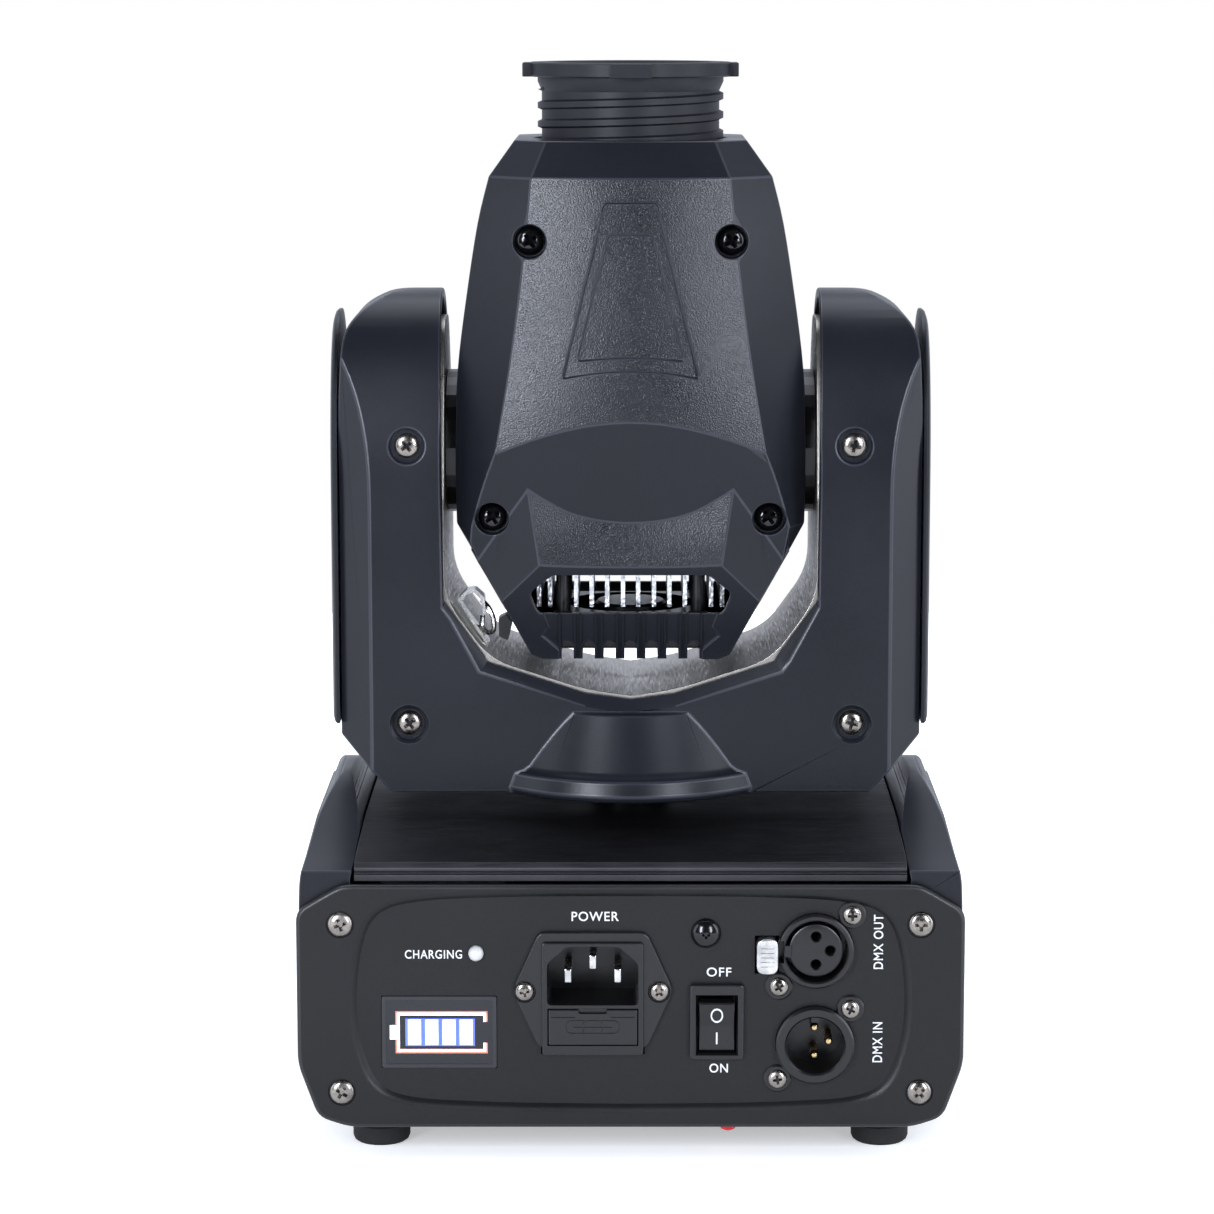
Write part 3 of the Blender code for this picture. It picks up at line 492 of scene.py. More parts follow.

# The plastics' edge finishes are painted lighter than the plastics: rubbed wear and a painted
# highlight along the rounded edges.
FINISH = {
    "shell": moulded("shell_plastic_fine", CHARCOAL, 0.32, 0.03, 3200.0, 0.6, 0.27),
    "shell_edge": moulded("shell_plastic_rubbed", shade(CHARCOAL, 2.0), 0.34, 0.015, 2600.0, 0.5),
    "grained": moulded("shell_plastic_grained", shade(CHARCOAL, 0.9), 0.29, 0.12, 2600.0, 1.6),
    "barrel": moulded("barrel_plastic_satin", CHARCOAL, 0.50, 0.02, 3200.0, 0.6, 0.30),
    "panel": moulded("panel_plastic_grained", PANEL_BLACK, 0.38, 0.05, 2600.0, 0.9, 0.32),
    "panel_edge_wear_and_highlight": moulded("panel_plastic_rubbed_and_painted_highlight", shade(PANEL_BLACK, 1.7), 0.38, 0.02, 1900.0, 0.5),
    "black": moulded("black_plastic_smooth", JET, 0.30, 0.012, 2600.0, 0.4),
    "black_edge_wear_and_highlight": moulded("black_plastic_rubbed_and_painted_highlight", shade(JET, 2.0), 0.28, 0.01, 2600.0, 0.3),
    "gloss": moulded("black_lacquer", shade(JET, 0.7), 0.14, 0.004, 1200.0, 0.2),
    "sheet": brushed("black_sheet_brushed", (0.055, 0.055, 0.059), 0.52, (0.06, 1, 1), 0.003,
                     1600.0),
    "strip": brushed("bracket_steel_brushed", (0.36, 0.34, 0.31), 0.36, (1, 0.05, 1), 0.0006,
                     2400.0),
    "steel": brushed("shaft_steel_turned", (0.55, 0.54, 0.52), 0.28, (1, 1, 0.1), 0.002),
    "bright": plain_metal("bright_metal_plated", (0.72, 0.71, 0.69), 0.24),
    "nickel": plain_metal("screw_nickel", (0.34, 0.31, 0.28), 0.26),
    "cast": hammered("heat_sink_cast", (0.82, 0.83, 0.84), 0.42),
    "rubber": moulded("rubber_moulded", (0.010, 0.010, 0.0105), 0.72, 0.10, 1400.0, 0.7, 0.35),
    "red": moulded("red_cap", (0.80, 0.008, 0.016), 0.22, 0.004, 900.0, 0.15),
    "lens": moulded("lamp_lens_milky", (0.62, 0.62, 0.60), 0.22, 0.01, 900.0, 0.2),
    "smoked": moulded("gauge_window_smoked", (0.010, 0.010, 0.014), 0.12, 0.003, 700.0, 0.3),
    "bezel": moulded("gauge_frame_printed", (0.018, 0.018, 0.021), 0.30, 0.006, 1500.0, 0.3),
    "board": moulded("board_green", (0.015, 0.10, 0.04), 0.42, 0.05, 700.0, 1.0),
    "battery": moulded("battery_wrap_film", (0.03, 0.08, 0.30), 0.32, 0.02, 300.0, 0.6),
    "copper": plain_metal("copper_plate", (0.70, 0.36, 0.20), 0.32),
    "brass": plain_metal("brass_pin", (0.78, 0.58, 0.30), 0.24),
    "glass": glassy("optic_glass", (0.90, 0.94, 0.97), 0.03),
    "ink": moulded("printed_white", (0.72, 0.72, 0.72), 0.55, 0.02, 3000.0, 0.3),
    "label": moulded("fan_label_white", (0.80, 0.80, 0.82), 0.35, 0.01, 1500.0, 0.2),
    "lit_white": glowing("gauge_lit_white", (0.86, 0.92, 1.0), 1.1),
    "lit_blue": glowing("gauge_lit_blue", (0.10, 0.16, 0.75), 0.7),
    "lit_red": glowing("gauge_lit_red", (0.85, 0.16, 0.10), 0.7),
}
# Each plastic's edge finish, painted lighter as rubbed wear and a painted highlight.
EDGE_OF = {"shell": "shell_edge", "grained": "shell_edge", "panel": "panel_edge_wear_and_highlight",
           "black": "black_edge_wear_and_highlight"}
CAD_FINISH = {
    "shell_plastic": "shell", "panel_plastic": "panel", "black_plastic": "black",
    "black_sheet": "sheet", "bracket_steel": "strip", "shaft_steel": "steel",
    "bright_metal": "bright", "rubber": "rubber", "red_plastic": "red", "lamp_lens": "lens",
    "gauge_glass": "smoked", "board": "board", "battery_wrap": "battery", "copper": "copper",
    "glass": "glass",
}
NODE_FINISH = {"heat_sink": "cast", "pan_shaft": "black"}


def paint_cad_nodes():
    for name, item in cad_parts.items():
        slot = item.data.materials[0].name.split(".")[0]
        kind = NODE_FINISH.get(name, CAD_FINISH.get(slot, "black"))
        for i in range(len(item.material_slots)):
            item.material_slots[i].material = FINISH[kind]
        for face in item.data.polygons:
            face.use_smooth = False


def piece(item, body, slot, finish, *nodes, smooth=28, third=None):
    """Give a finished mesh its finish, its shading, its body and the CAD nodes it stands for."""
    mesh = item.data
    kinds = [finish, EDGE_OF.get(finish, finish)] + ([third] if third else [])
    while len(mesh.materials) < len(kinds):
        mesh.materials.append(None)
    for i, kind in enumerate(kinds):
        mesh.materials[i] = FINISH[kind]
    mesh.shade_smooth()
    mesh.set_sharp_from_angle(angle=math.radians(smooth))
    weigh_normals(item)
    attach(item, body)
    if nodes:
        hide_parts(*nodes)
    return item


# ---------------------------------------------------------------- head

# Height, half-width, depth where the side facet starts, the central panel's half-width, and
# its depth at its edge and at its middle.
HEAD_LOW = (
    (133.5, 26.0, 24.0, 24.5, 30.0, 31.0),
    (135.1, 28.9, 26.0, 27.0, 31.0, 32.0),
    (150.6, 36.7, 31.5, 35.0, 38.0, 39.0),
    (163.2, 44.0, 30.0, 41.5, 42.0, 43.5),
)
HEAD_MID = (
    (173.8, 50.2, 26.0, 41.8, 43.0, 46.0),
    (186.0, 50.5, 24.0, 40.2, 43.0, 46.3),
    (200.0, 50.4, 24.0, 37.7, 42.8, 46.3),
    (218.3, 49.7, 24.0, 34.6, 41.4, 45.7),
    (239.0, 47.1, 24.0, 31.7, 39.8, 44.1),
    (259.7, 43.8, 24.0, 29.4, 37.8, 41.7),
    (273.2, 40.5, 24.0, 28.2, 36.2, 39.6),
)
HEAD_TOP = ((283.5, 33.1, 22.0, 24.0, 31.5, 33.4),)
STEPS_BETWEEN = 4
CROWN = [i / 8 for i in range(8, -9, -1)]
# Planes that trim the lens-shaped facet and the hood's underside.
LENS_Z, LENS_DEPTH, LENS_SLOPE = 204.5, 46.0, 0.35
HOOD_Z, HOOD_DEPTH, UNDER_SLOPE = 163.2, 38.5, 0.455
SLOTS = [i * 6.1 for i in range(-3, 4)]
SEAM = 0.15               # half the gap between the rear and front shells


def smooth_rows(rows):
    """Rows between the given ones, on a smooth curve through them."""
    out = []
    for i in range(len(rows) - 1):
        p0, p1, p2 = rows[max(i - 1, 0)], rows[i], rows[i + 1]
        p3 = rows[min(i + 2, len(rows) - 1)]
        for k in range(STEPS_BETWEEN):
            t = k / STEPS_BETWEEN
            out.append(tuple(
                0.5 * (2 * b + (c - a) * t + (2 * a - 5 * b + 4 * c - d) * t * t
                       + (3 * b - a - 3 * c + d) * t ** 3)
                for a, b, c, d in zip(p0, p1, p2, p3)))
    return out + [rows[-1]]


HEAD_ROWS = list(HEAD_LOW) + smooth_rows(HEAD_MID) + list(HEAD_TOP)


def head_ring(row, side, inset=0.0, seam=SEAM):
    z, width, side_depth, panel, edge, middle = row
    width, panel = width - inset, panel - inset * 0.4
    side_depth, edge, middle = side_depth - inset, edge - inset, middle - inset
    crown = [(panel * t, middle - (middle - edge) * t * t) for t in CROWN]
    ring = [(width, seam), (width, side_depth)] + crown + [(-width, side_depth), (-width, seam)]
    return [(x, side * y, z) for x, y in ring]


def beyond_plane(name, side, z, depth, slope, inset=0.0, low=None):
    """Everything outside a sloping plane that passes through (depth, z), above a low end."""
    low, high = z - 90.0 if low is None else low, z + 90.0
    inner = [(depth - slope * (z - low) - inset, low), (depth + slope * (high - z) - inset, high)]
    outline = [(side * d, h) for d, h in inner + [(150.0, high), (150.0, low)]]
    return prism(name, outline, -90, 90, "X")


def hood(name, side):
    """The raised hood over the fan window, with a scooped front and two side facets."""
    across, up = 16, 8
    tip, foot = Vector((29.3, 39.2, 185.0)), Vector((26.1, 38.5, HOOD_Z))
    outer_up = Vector((47.1, 30.1, 159.0))
    outer_low = Vector((45.1, 29.65, 143.8))
    # Carried past the planes above and below, which then trim it cleanly.
    tip, foot = tip + 0.3 * (tip - foot), foot - 0.3 * (tip - foot)
    outer_up, outer_low = (outer_up + 0.3 * (outer_up - outer_low),
                           outer_low - 0.3 * (outer_up - outer_low))
    back = 12.0
    solid = bmesh.new()

    def vert(x, d, z):
        return solid.verts.new(Vector((x, side * d, z)) * MM)

    rows = []
    for j in range(up + 1):
        t = j / up
        edge = foot.lerp(tip, t)
        scoop = 3.7 * min(1.0, max(0.0, (edge.z - 161.0) / 15.0)) ** 1.3
        rows.append([vert(edge.x * u, edge.y - scoop * (1 - u * u), edge.z)
                     for u in [2 * i / across - 1 for i in range(across + 1)]])
    for lower, upper in zip(rows, rows[1:]):
        for i in range(across):
            solid.faces.new((lower[i], lower[i + 1], upper[i + 1], upper[i]))
    ends = {}
    for s in (-1, 1):
        ends[s] = [vert(s * p.x, p.y, p.z) for p in (outer_up, outer_low)]
        ends[s] += [vert(s * p.x, back, p.z) for p in (outer_low, outer_up, tip)]
    left, right = ends[-1], ends[1]
    column = {-1: [row[0] for row in rows], 1: [row[-1] for row in rows]}
    for s, (up_near, low_near, low_back, up_back, tip_back) in ends.items():
        solid.faces.new(column[s] + [up_near, low_near])
        solid.faces.new((column[s][-1], up_near, up_back, tip_back))
        solid.faces.new((up_near, low_near, low_back, up_back))
    solid.faces.new(rows[-1] + [right[4], left[4]])
    solid.faces.new(rows[0] + [right[1], left[1]])
    solid.faces.new((left[1], right[1], right[2], left[2]))
    solid.faces.new((left[2], right[2], right[3], right[4], left[4], left[3]))
    bmesh.ops.triangulate(solid, faces=solid.faces)
    return from_bmesh(name, solid)


def crown_depth(x, z):
    """Depth of the central panel's surface."""
    for a, b in zip(HEAD_ROWS, HEAD_ROWS[1:]):
        if a[0] <= z <= b[0]:
            t = (z - a[0]) / (b[0] - a[0])
            panel, edge, middle = (a[k] + (b[k] - a[k]) * t for k in (3, 4, 5))
            return middle - (middle - edge) * (x / panel) ** 2
    return 0.0


def ornament_cut(name, side, outline, depth_at):
    """A shallow pocket that follows the crowned panel at a depth given for each height."""
    rows = [r for r in HEAD_ROWS if 200.0 < r[0] < 275.0]
    floor = []
    for row in rows:
        z, _, _, panel, edge, middle = row
        sunk = depth_at(z)
        floor.append([(panel * t, side * (middle - (middle - edge) * t * t - sunk), z)
                      for t in CROWN] + [(-panel, side * 60.0, z), (panel, side * 60.0, z)])
    shape = loft(name, floor)
    low, high = sorted((side * 20.0, side * 70.0))
    return keep_common(shape, prism(name + "_outline", outline, low, high, "Y"))


def trapezoid(top, bottom, half_top, half_bottom, rise, radius):
    """An upright trapezoid with a bottom edge that arches up in the middle."""
    low = [(half_bottom * t, bottom + rise * (1 - t * t))
           for t in [i / 6 for i in range(6, -7, -1)]]
    outline = [(-half_top, top), (half_top, top)] + low
    return soften(outline, radius, 4, which={0, 1, 2, len(outline) - 1})


# Place across and up, and the depth of the well's floor.
HEAD_SCREWS = ((28.6, 255.5, 33.2), (39.7, 176.2, 30.8))


def head_shell(side, name):
    body = loft("head_form", [head_ring(row, side) for row in HEAD_ROWS])
    cut(body, beyond_plane("lens_plane", side, LENS_Z, LENS_DEPTH, LENS_SLOPE, low=152.0))
    silhouette = both_sides([(x - 0.02, z) for z, x, *_ in HEAD_ROWS])
    low, high = sorted((side * 0.2, side * 80.0))
    shape = keep_common(hood("hood", side), prism("silhouette", silhouette, low, high, "Y"))
    join(body, shape)
    cut(body, beyond_plane("under_slope", side, HOOD_Z, HOOD_DEPTH, UNDER_SLOPE, low=130.0))

    inner_rows = [list(row) for row in HEAD_ROWS]
    inner_rows[0][0] += WALL
    inner_rows[-1][0] -= WALL
    hollow = loft("hollow", [head_ring(row, side, WALL + 0.2, -5.0) for row in inner_rows])
    cut(hollow, beyond_plane("lens_inside", side, LENS_Z, LENS_DEPTH, LENS_SLOPE, 2.6, 150.0),
        beyond_plane("under_inside", side, HOOD_Z, HOOD_DEPTH, UNDER_SLOPE, 2.6))
    for x, z, _ in HEAD_SCREWS:
        for s in (-1, 1):
            cut(hollow, drum("boss", 6.4, *sorted((side * 18.0, side * 60.0)), (s * x, z), "Y", 40))
    cut(body, hollow)
    cut(body, drum("barrel_hole", 28.2, 270, 290, steps=72))
    cut(body, drum("shaft_hole", 8.5, -60, 60, (0, TILT_Z), "X"))
    add_ornament(body, side)
    for x, z, floor in HEAD_SCREWS:
        for s in (-1, 1):
            cut(body, drum("well", 4.8, *sorted((side * (floor - 0.8), side * 60.0)), (s * x, z),
                           "Y", 40))
    ribs = add_window(body, side)
    clean(body, 0.2, True)
    bevel(body, 0.4, 3, 14)
    for face in body.data.polygons:
        x, y, z = face.center / MM
        in_crown = abs(x) < 38.5 and side * y > crown_depth(x, z) - 2.6 and z > 199 - 0.1 * abs(x)
        in_scoop = 163.0 < z < 185.5 and side * y > LENS_DEPTH - LENS_SLOPE * (LENS_Z - z) + 0.02 \
            and abs(x) < 29.5 and abs(face.normal.x) < 0.32
        if face.material_index == 0 and (in_crown and z < 273.4 or in_scoop):
            face.material_index = GRAIN_SLOT
    body = fuse(f"look_head_{name}_shell", [body, ribs])
    return piece(body, "head", "shell_plastic", "shell", f"head_{name}_shell", third="grained")


def add_ornament(body, side):
    def outer_depth(z):
        return 0.15 + 1.15 * min(1.0, max(0.0, (266.2 - z) / 8.0))

    def inner_depth(z):
        return outer_depth(z) + 0.8

    cut(body, ornament_cut("outer_pocket", side,
                           trapezoid(266.4, 217.1, 7.4, 19.4, 2.2, 1.2), outer_depth),
        ornament_cut("inner_pocket", side,
                     trapezoid(257.5, 222.0, 6.4, 15.2, 1.0, 1.8), inner_depth))


def add_window(body, side):
    window = [(-28.6, 153.2), (-26.6, 148.1), (26.6, 148.1), (28.6, 153.2), (28.6, 154.8),
              (22.4, 160.0), (-22.4, 160.0), (-28.6, 154.8)]
    low, high = sorted((side * 22.0, side * 60.0))
    inside = prism("window_inside", [(-30.5, 162.0), (-30.5, 146.0), (30.5, 146.0), (30.5, 162.0)],
                   low, high, "Y")
    cut(inside, beyond_plane("behind_window", side, HOOD_Z, HOOD_DEPTH, UNDER_SLOPE, 2.4))
    cut(body, inside)
    cut(body, prism("window", soften(window, 1.2, 3), low, high, "Y"))
    # The comb below the window: a sunk panel, ribs in pairs, and open round-topped slots.
    comb = [(-25.6, 149.0), (25.6, 149.0), (23.8, 143.6), (25.6, 141.0), (20.6, 136.4),
            (20.6, 130.0), (-20.6, 130.0), (-20.6, 136.4), (-25.6, 141.0), (-23.8, 143.6)]
    pocket = beyond_plane("comb_floor", side, HOOD_Z, HOOD_DEPTH, UNDER_SLOPE, 0.9)
    keep_common(pocket, prism("comb", comb, *sorted((side * 10.0, side * 60.0)), "Y"))
    cut(body, pocket)
    ribs = []
    for middle in SLOTS:
        for s in (-1, 1):
            x = middle + s * 2.2
            rings = []
            for z in (134.0, 148.0):
                floor = HOOD_DEPTH - UNDER_SLOPE * (HOOD_Z - z)
                rings.append([(x + dx, side * (floor - sunk), z) for dx, sunk in (
                    (-0.32, 1.5), (0.32, 1.5), (0.26, 0.2), (-0.26, 0.2))])
            ribs.append(loft("rib", rings))
    for x in SLOTS:
        slot = [(x - 1.75, 130), (x + 1.75, 130)] + arc((x, 137.5), 1.75, 0, 180, 10)
        cut(body, prism("slot", slot, *sorted((side * 6.0, side * 45.0)), "Y"))
    return fuse("ribs", ribs)


def make_barrel():
    """The focus barrel: a single-start thread, a flat ring on top and four finger lugs."""
    core, crest, bore, pitch = 25.8, 27.0, 22.5, 5.4
    low, high, ring_z, top = 248.2, 297.6, 301.0, 305.2
    steps = 96
    # The thread over one pitch: how far up, and how much of its height.
    shape = ((0.0, 0.0), (0.50, 0.0), (0.60, 1.0), (0.90, 1.0))
    solid = bmesh.new()
    columns = []
    turns = int((high - low) / pitch) + 2
    for i in range(steps):
        t = math.tau * i / steps
        shift = pitch * i / steps
        heights = [low]
        radii = [core]
        for k in range(-1, turns):
            for part, lift in shape:
                z = low + (k + part) * pitch + shift
                heights.append(min(max(z, low), high))
                radii.append(core + (crest - core) * lift if low < z < high else core)
        heights.append(high)
        radii.append(core)
        columns.append([(r * math.cos(t), r * math.sin(t), z) for r, z in zip(radii, heights)])
    # The last column joins the first one a whole turn up.
    first = columns[0]
    last = len(first) - 1
    columns.append([first[min(j + len(shape), last)] if 0 < j < last else first[j]
                    for j in range(last + 1)])
    made = [[solid.verts.new(Vector(p) * MM) for p in column] for column in columns]
    for a, b in zip(made, made[1:]):
        for j in range(last):
            solid.faces.new((a[j], b[j], b[j + 1], a[j + 1]))
    inner = []
    for i in range(steps + 1):
        t = math.tau * i / steps
        c, s = math.cos(t), math.sin(t)
        inner.append([solid.verts.new(Vector((bore * c, bore * s, z)) * MM) for z in (low, high)])
    for i in range(steps):
        solid.faces.new((inner[i][0], inner[i][1], inner[i + 1][1], inner[i + 1][0]))
        solid.faces.new((made[i][0], inner[i][0], inner[i + 1][0], made[i + 1][0]))
        solid.faces.new((made[i][-1], made[i + 1][-1], inner[i + 1][1], inner[i][1]))
    bmesh.ops.remove_doubles(solid, verts=solid.verts, dist=2e-6)
    bmesh.ops.dissolve_degenerate(solid, edges=solid.edges, dist=2e-6)
    thread = from_bmesh("thread", solid)

    neck = turned("neck", [(27.0, ring_z + 0.5), (27.0, 299.6), (core, 297.0), (bore, 297.0),
                           (bore, ring_z + 0.5)], (0, 0, 0), steps=96, closed=True)
    cap = turned("cap", [(28.9, top), (29.3, top - 0.4), (29.3, ring_z + 0.4), (28.9, ring_z),
                         (bore, ring_z), (bore, top - 1.6), (bore + 1.4, top)],
                 (0, 0, 0), steps=96, closed=True)
    lugs = []
    for i in range(4):
        lug = bevel(block("lug", (27.5, -6.0, ring_z + 0.02), (31.3, 6.0, top - 0.15)), 0.35, 2, 30)
        lug.data.transform(Matrix.Rotation(math.tau * i / 4, 4, "Z"))
        lugs.append(lug)
    barrel = fuse("look_lens_barrel", [thread, neck, cap] + lugs)
    return piece(barrel, "barrel", "black_plastic", "barrel", "lens_barrel", smooth=35)


def make_head_details():
    for side in (-1, 1):
        for x, z, floor in HEAD_SCREWS:
            for s in (-1, 1):
                screw(f"head_screw_{'rf'[side > 0]}_{'lr'[s > 0]}_{int(z)}",
                      (s * x, side * (floor - 0.8), z), (0, side, 0), 4.1, "gloss", 2.6,
                      "head", 35.0)
    profile = [(0, 176.0), (2.1, 176.0), (2.1, 147.0), (2.9, 146.6), (2.9, 144.0), (0, 144.0)]
    for s in (-1, 1):
        posts = [turned("post", profile, (s * 19.6, y, 0), steps=24) for y in (19.0, -19.0)]
        piece(fuse(f"fan_posts_{'lr'[s > 0]}", posts), "head", "black_plastic", "black")
    disc = turned("fan_label", [(0, 147.32), (9.6, 147.32), (9.8, 147.15), (0, 147.15)],
                  (0, 0, 0), steps=48)
    piece(disc, "fan", "lamp_lens", "label")


# ---------------------------------------------------------------- screws


def cross_recess(name, depth, reach, width, top):
    """The cross-shaped tool for a screw's drive recess, pointing along +Z."""
    arms = []
    for turn in (0, 90):
        arm = loft(name, [[(x, y, z) for x, y in rectangle(-reach * k, -width, reach * k, width)]
                          for z, k in ((top - depth, 0.35), (top + 1, 1.15))])
        arm.data.transform(Matrix.Rotation(math.radians(turn), 4, "Z"))
        arms.append(arm)
    return join(arms[0], arms[1])


def screw_mesh(name, radius, height):
    """A pan-head cross screw lying on the XY plane, its head up +Z."""
    dome = [(0, height), (radius * 0.45, height * 0.97), (radius * 0.75, height * 0.84),
            (radius * 0.93, height * 0.58), (radius, height * 0.25), (radius, 0), (0, 0)]
    head = turned(name, dome, (0, 0, 0), steps=32)
    cut(head, cross_recess("recess", height * 0.95, radius * 0.64, radius * 0.14, height))
    mesh = head.data
    bpy.data.objects.remove(head, do_unlink=True)
    return mesh


SCREWS = {}


def screw(name, at, facing, radius, finish, height, body, turn):
    key = (radius, finish, height)
    if key not in SCREWS:
        SCREWS[key] = screw_mesh(f"screw_{len(SCREWS)}", radius, height)
    mesh = SCREWS[key].copy()
    spin = Vector((0, 0, 1)).rotation_difference(Vector(facing)).to_matrix().to_4x4()
    mesh.transform(Matrix.Translation(Vector(at) * MM) @ spin
                   @ Matrix.Rotation(math.radians(turn), 4, "Z"))
    slot = "black_plastic" if finish == "gloss" else "bright_metal"
    return piece(add_object(name, mesh), body, slot, finish, smooth=40)


# ---------------------------------------------------------------- yoke

YOKE_HALF_WIDTH, YOKE_BOTTOM, YOKE_TOP, YOKE_DEPTH = 84.3, 95.8, 239.5, 33.0
CREASE_Z = 181.0


def inner_curve(grow=0.0):
    slope = grow * 0.45
    return [(0, 123.7 - grow), (13.0, 125.5 - grow), (40.9 + slope, 134.5 - grow),
            (53.8 + grow, 152.4 - slope)]


def yoke_outline(inset=0.0):
    top = YOKE_TOP - inset
    outer = [(69.3 - inset * 0.5, YOKE_BOTTOM + inset),
             (YOKE_HALF_WIDTH - inset, 111.5 + inset * 0.5),
             (YOKE_HALF_WIDTH - inset, 205.0), (83.0 - inset, 228.0 - inset * 0.5),
             (78.4 - inset, 234.4 - inset), (68.6, top)]
    into = -3.0 if inset else 0.0
    opening = [(54.8 + into, top)] + list(reversed(inner_curve(into)))
    half = outer + opening
    whole = half + [(-x, z) for x, z in reversed(half[:-1])]
    if inset:
        return whole
    last = len(whole) - 1
    return soften(whole, 6.0, 5, which={2, 3, 4, 5, last - 2, last - 3, last - 4, last - 5})


def arm_side_outline(inset=0.0, steps=18):
    depth = YOKE_DEPTH - inset
    rise = YOKE_TOP - inset - CREASE_Z
    turns = [math.radians(90 * i / steps) for i in range(steps + 1)]
    half = [(depth, 80.0)]
    half += [(depth * math.cos(t) ** 0.8, CREASE_Z + rise * math.sin(t) ** 0.9)
             for t in turns[:-1]]
    half.append((3.0, YOKE_TOP - inset))
    return half + [(-y, z) for y, z in reversed(half)]


def plan_outline(inset=0.0):
    depth = YOKE_DEPTH - inset
    side = YOKE_HALF_WIDTH - inset
    edge = 75.0 - inset * 0.4
    half = [(edge - 2.4, -depth - 18), (edge - 2.4, -depth - 2.0),
            (side + 1, -24.5 + inset * 0.4)]
    corner = half + [(x, -y) for x, y in reversed(half)]
    return corner + [(-x, y) for x, y in reversed(corner)]


def cone_profile(inset=0.0):
    top = 119.1 - inset
    foot = 95.3 + inset
    flange = [(36.9 - inset, top), (43.9 - inset, 103.6), (45.2 - inset, 102.2),
              (46.9 - inset, 101.3), (48.0 - inset, 97.2), (47.6 - inset, 95.9),
              (47.0 - inset, foot)]
    return [(0, top)] + flange + [(0, foot)]


def yoke_form(name, inset):
    form = prism(name, yoke_outline(inset), -50, 50, "Y")
    keep_common(form, prism("side", arm_side_outline(inset), -100, 100, "X"))
    keep_common(form, prism("plan", plan_outline(inset), 60, 260, "Z"))
    return form


YOKE_SCREWS = ((64.2, 196.7), (64.1, 115.8))
LIP = ((0, 118.6), (13.1, 120.4), (44.3, 130.9), (54.3, 149.7))


def lip_cut(side):
    """The sloping lip round the inside of the U."""
    def ring(curve, x_top, y):
        right = list(curve) + [(x_top, 260.0)]
        return [(x, side * y, z) for x, z in both_sides_open(right)]

    inner = inner_curve()
    return loft("lip", [ring([(x, z - 0.6) for x, z in LIP], 55.6, 33.6),
                        ring(inner, 54.4, 30.4),
                        ring([(x * 0.8, z + 6) for x, z in inner], 42.0, 29.6)])


def both_sides_open(right):
    return right + [(-x, z) for x, z in reversed(right[1:])]


def make_yoke_shells():
    for side, name in ((-1, "rear"), (1, "front")):
        shell = yoke_form(f"look_yoke_{name}_shell", 0.0)
        low, high = sorted((side * SEAM, -side * 100))
        cut(shell, block("half", (-120, low, 60), (120, high, 260)))
        cut(shell, lip_cut(side))
        cone = turned("cone", cone_profile(), (0, 0, 0), steps=96)
        cut(cone, block("half", (-120, low, 60), (120, high, 260)))
        join(shell, cone)
        hollow = join(yoke_form("hollow", WALL),
                      turned("cone_hollow", cone_profile(WALL), (0, 0, 0), steps=48))
        for x, z in YOKE_SCREWS:
            for s in (-1, 1):
                cut(hollow, drum("boss", 7.0, *sorted((side * 20.0, side * 60.0)), (s * x, z), "Y"))
        cut(shell, hollow)
        cut(shell, drum("shaft_hole", 13.5, 90, 112))
        for x, z in YOKE_SCREWS:
            for s in (-1, 1):
                well = [(0, 36.0), (8.2, 36.0), (5.2, 32.9), (4.9, 30.7), (4.2, 30.3), (0, 30.3)]
                cut(shell, turned("well", [(r, -side * h) for r, h in well], (s * x, 0, z), "Y", 48))
                screw(f"yoke_screw_{name}_{'lr'[s > 0]}_{int(z)}", (s * x, side * 30.2, z),
                      (0, side, 0), 3.6, "nickel", 1.7, "yoke", 12.0 + x * s)
        bevel(shell, 0.6, 3, 30)
        piece(shell, "yoke", "shell_plastic", "shell", f"yoke_{name}_shell", smooth=24)


def make_arm_covers():
    for side, name in ((-1, "left"), (1, "right")):
        rings = []
        for inset, x in ((6.0, 84.6), (6.0, 85.4), (6.5, 86.0), (8.2, 86.6), (12.0, 86.85),
                         (20.0, 86.9)):
            rings.append([(side * x, y, z) for y, z in clipped_side(inset)])
        cover = loft(f"look_yoke_{name}_cover", rings)
        piece(cover, "yoke", "shell_plastic", "shell", f"yoke_{name}_cover", smooth=35)


def clipped_side(inset):
    """The arm's side outline, flat at the bottom where the cover ends."""
    floor = 115.0 + (inset - 6.0)
    return [(y, max(z, floor)) for y, z in arm_side_outline(inset)]


def make_bracket():
    top, thick = 232.0, 2.0
    inside = inner_curve() + [(53.8, top)]
    outside = inner_curve(thick) + [(53.8 + thick, top)]
    right = outside + list(reversed(inside))
    left = [(-x, z) for x, z in inside[1:]] + [(-x, z) for x, z in reversed(outside[1:])]
    outline = right + left
    bends = {i for i, (x, z) in enumerate(outline) if 124 < z < 156 or (z < 126 and x != 0)}
    bracket = prism("look_yoke_bracket", soften(outline, 7.0, 6, bends), -30, 30, "Y")
    ears = both_sides([(31, 100), (31, 176), (26, 200), (21, 216), (11, 231.5)])
    keep_common(bracket, prism("ears", soften(ears, 6.0, 5), -80, 80, "X"))
    cut(bracket, drum("tilt_holes", 10.3, -80, 80, (0, TILT_Z), "X"))
    bevel(bracket, 0.25, 2, 40)
    piece(bracket, "yoke", "bracket_steel", "strip", "yoke_bracket", smooth=30)


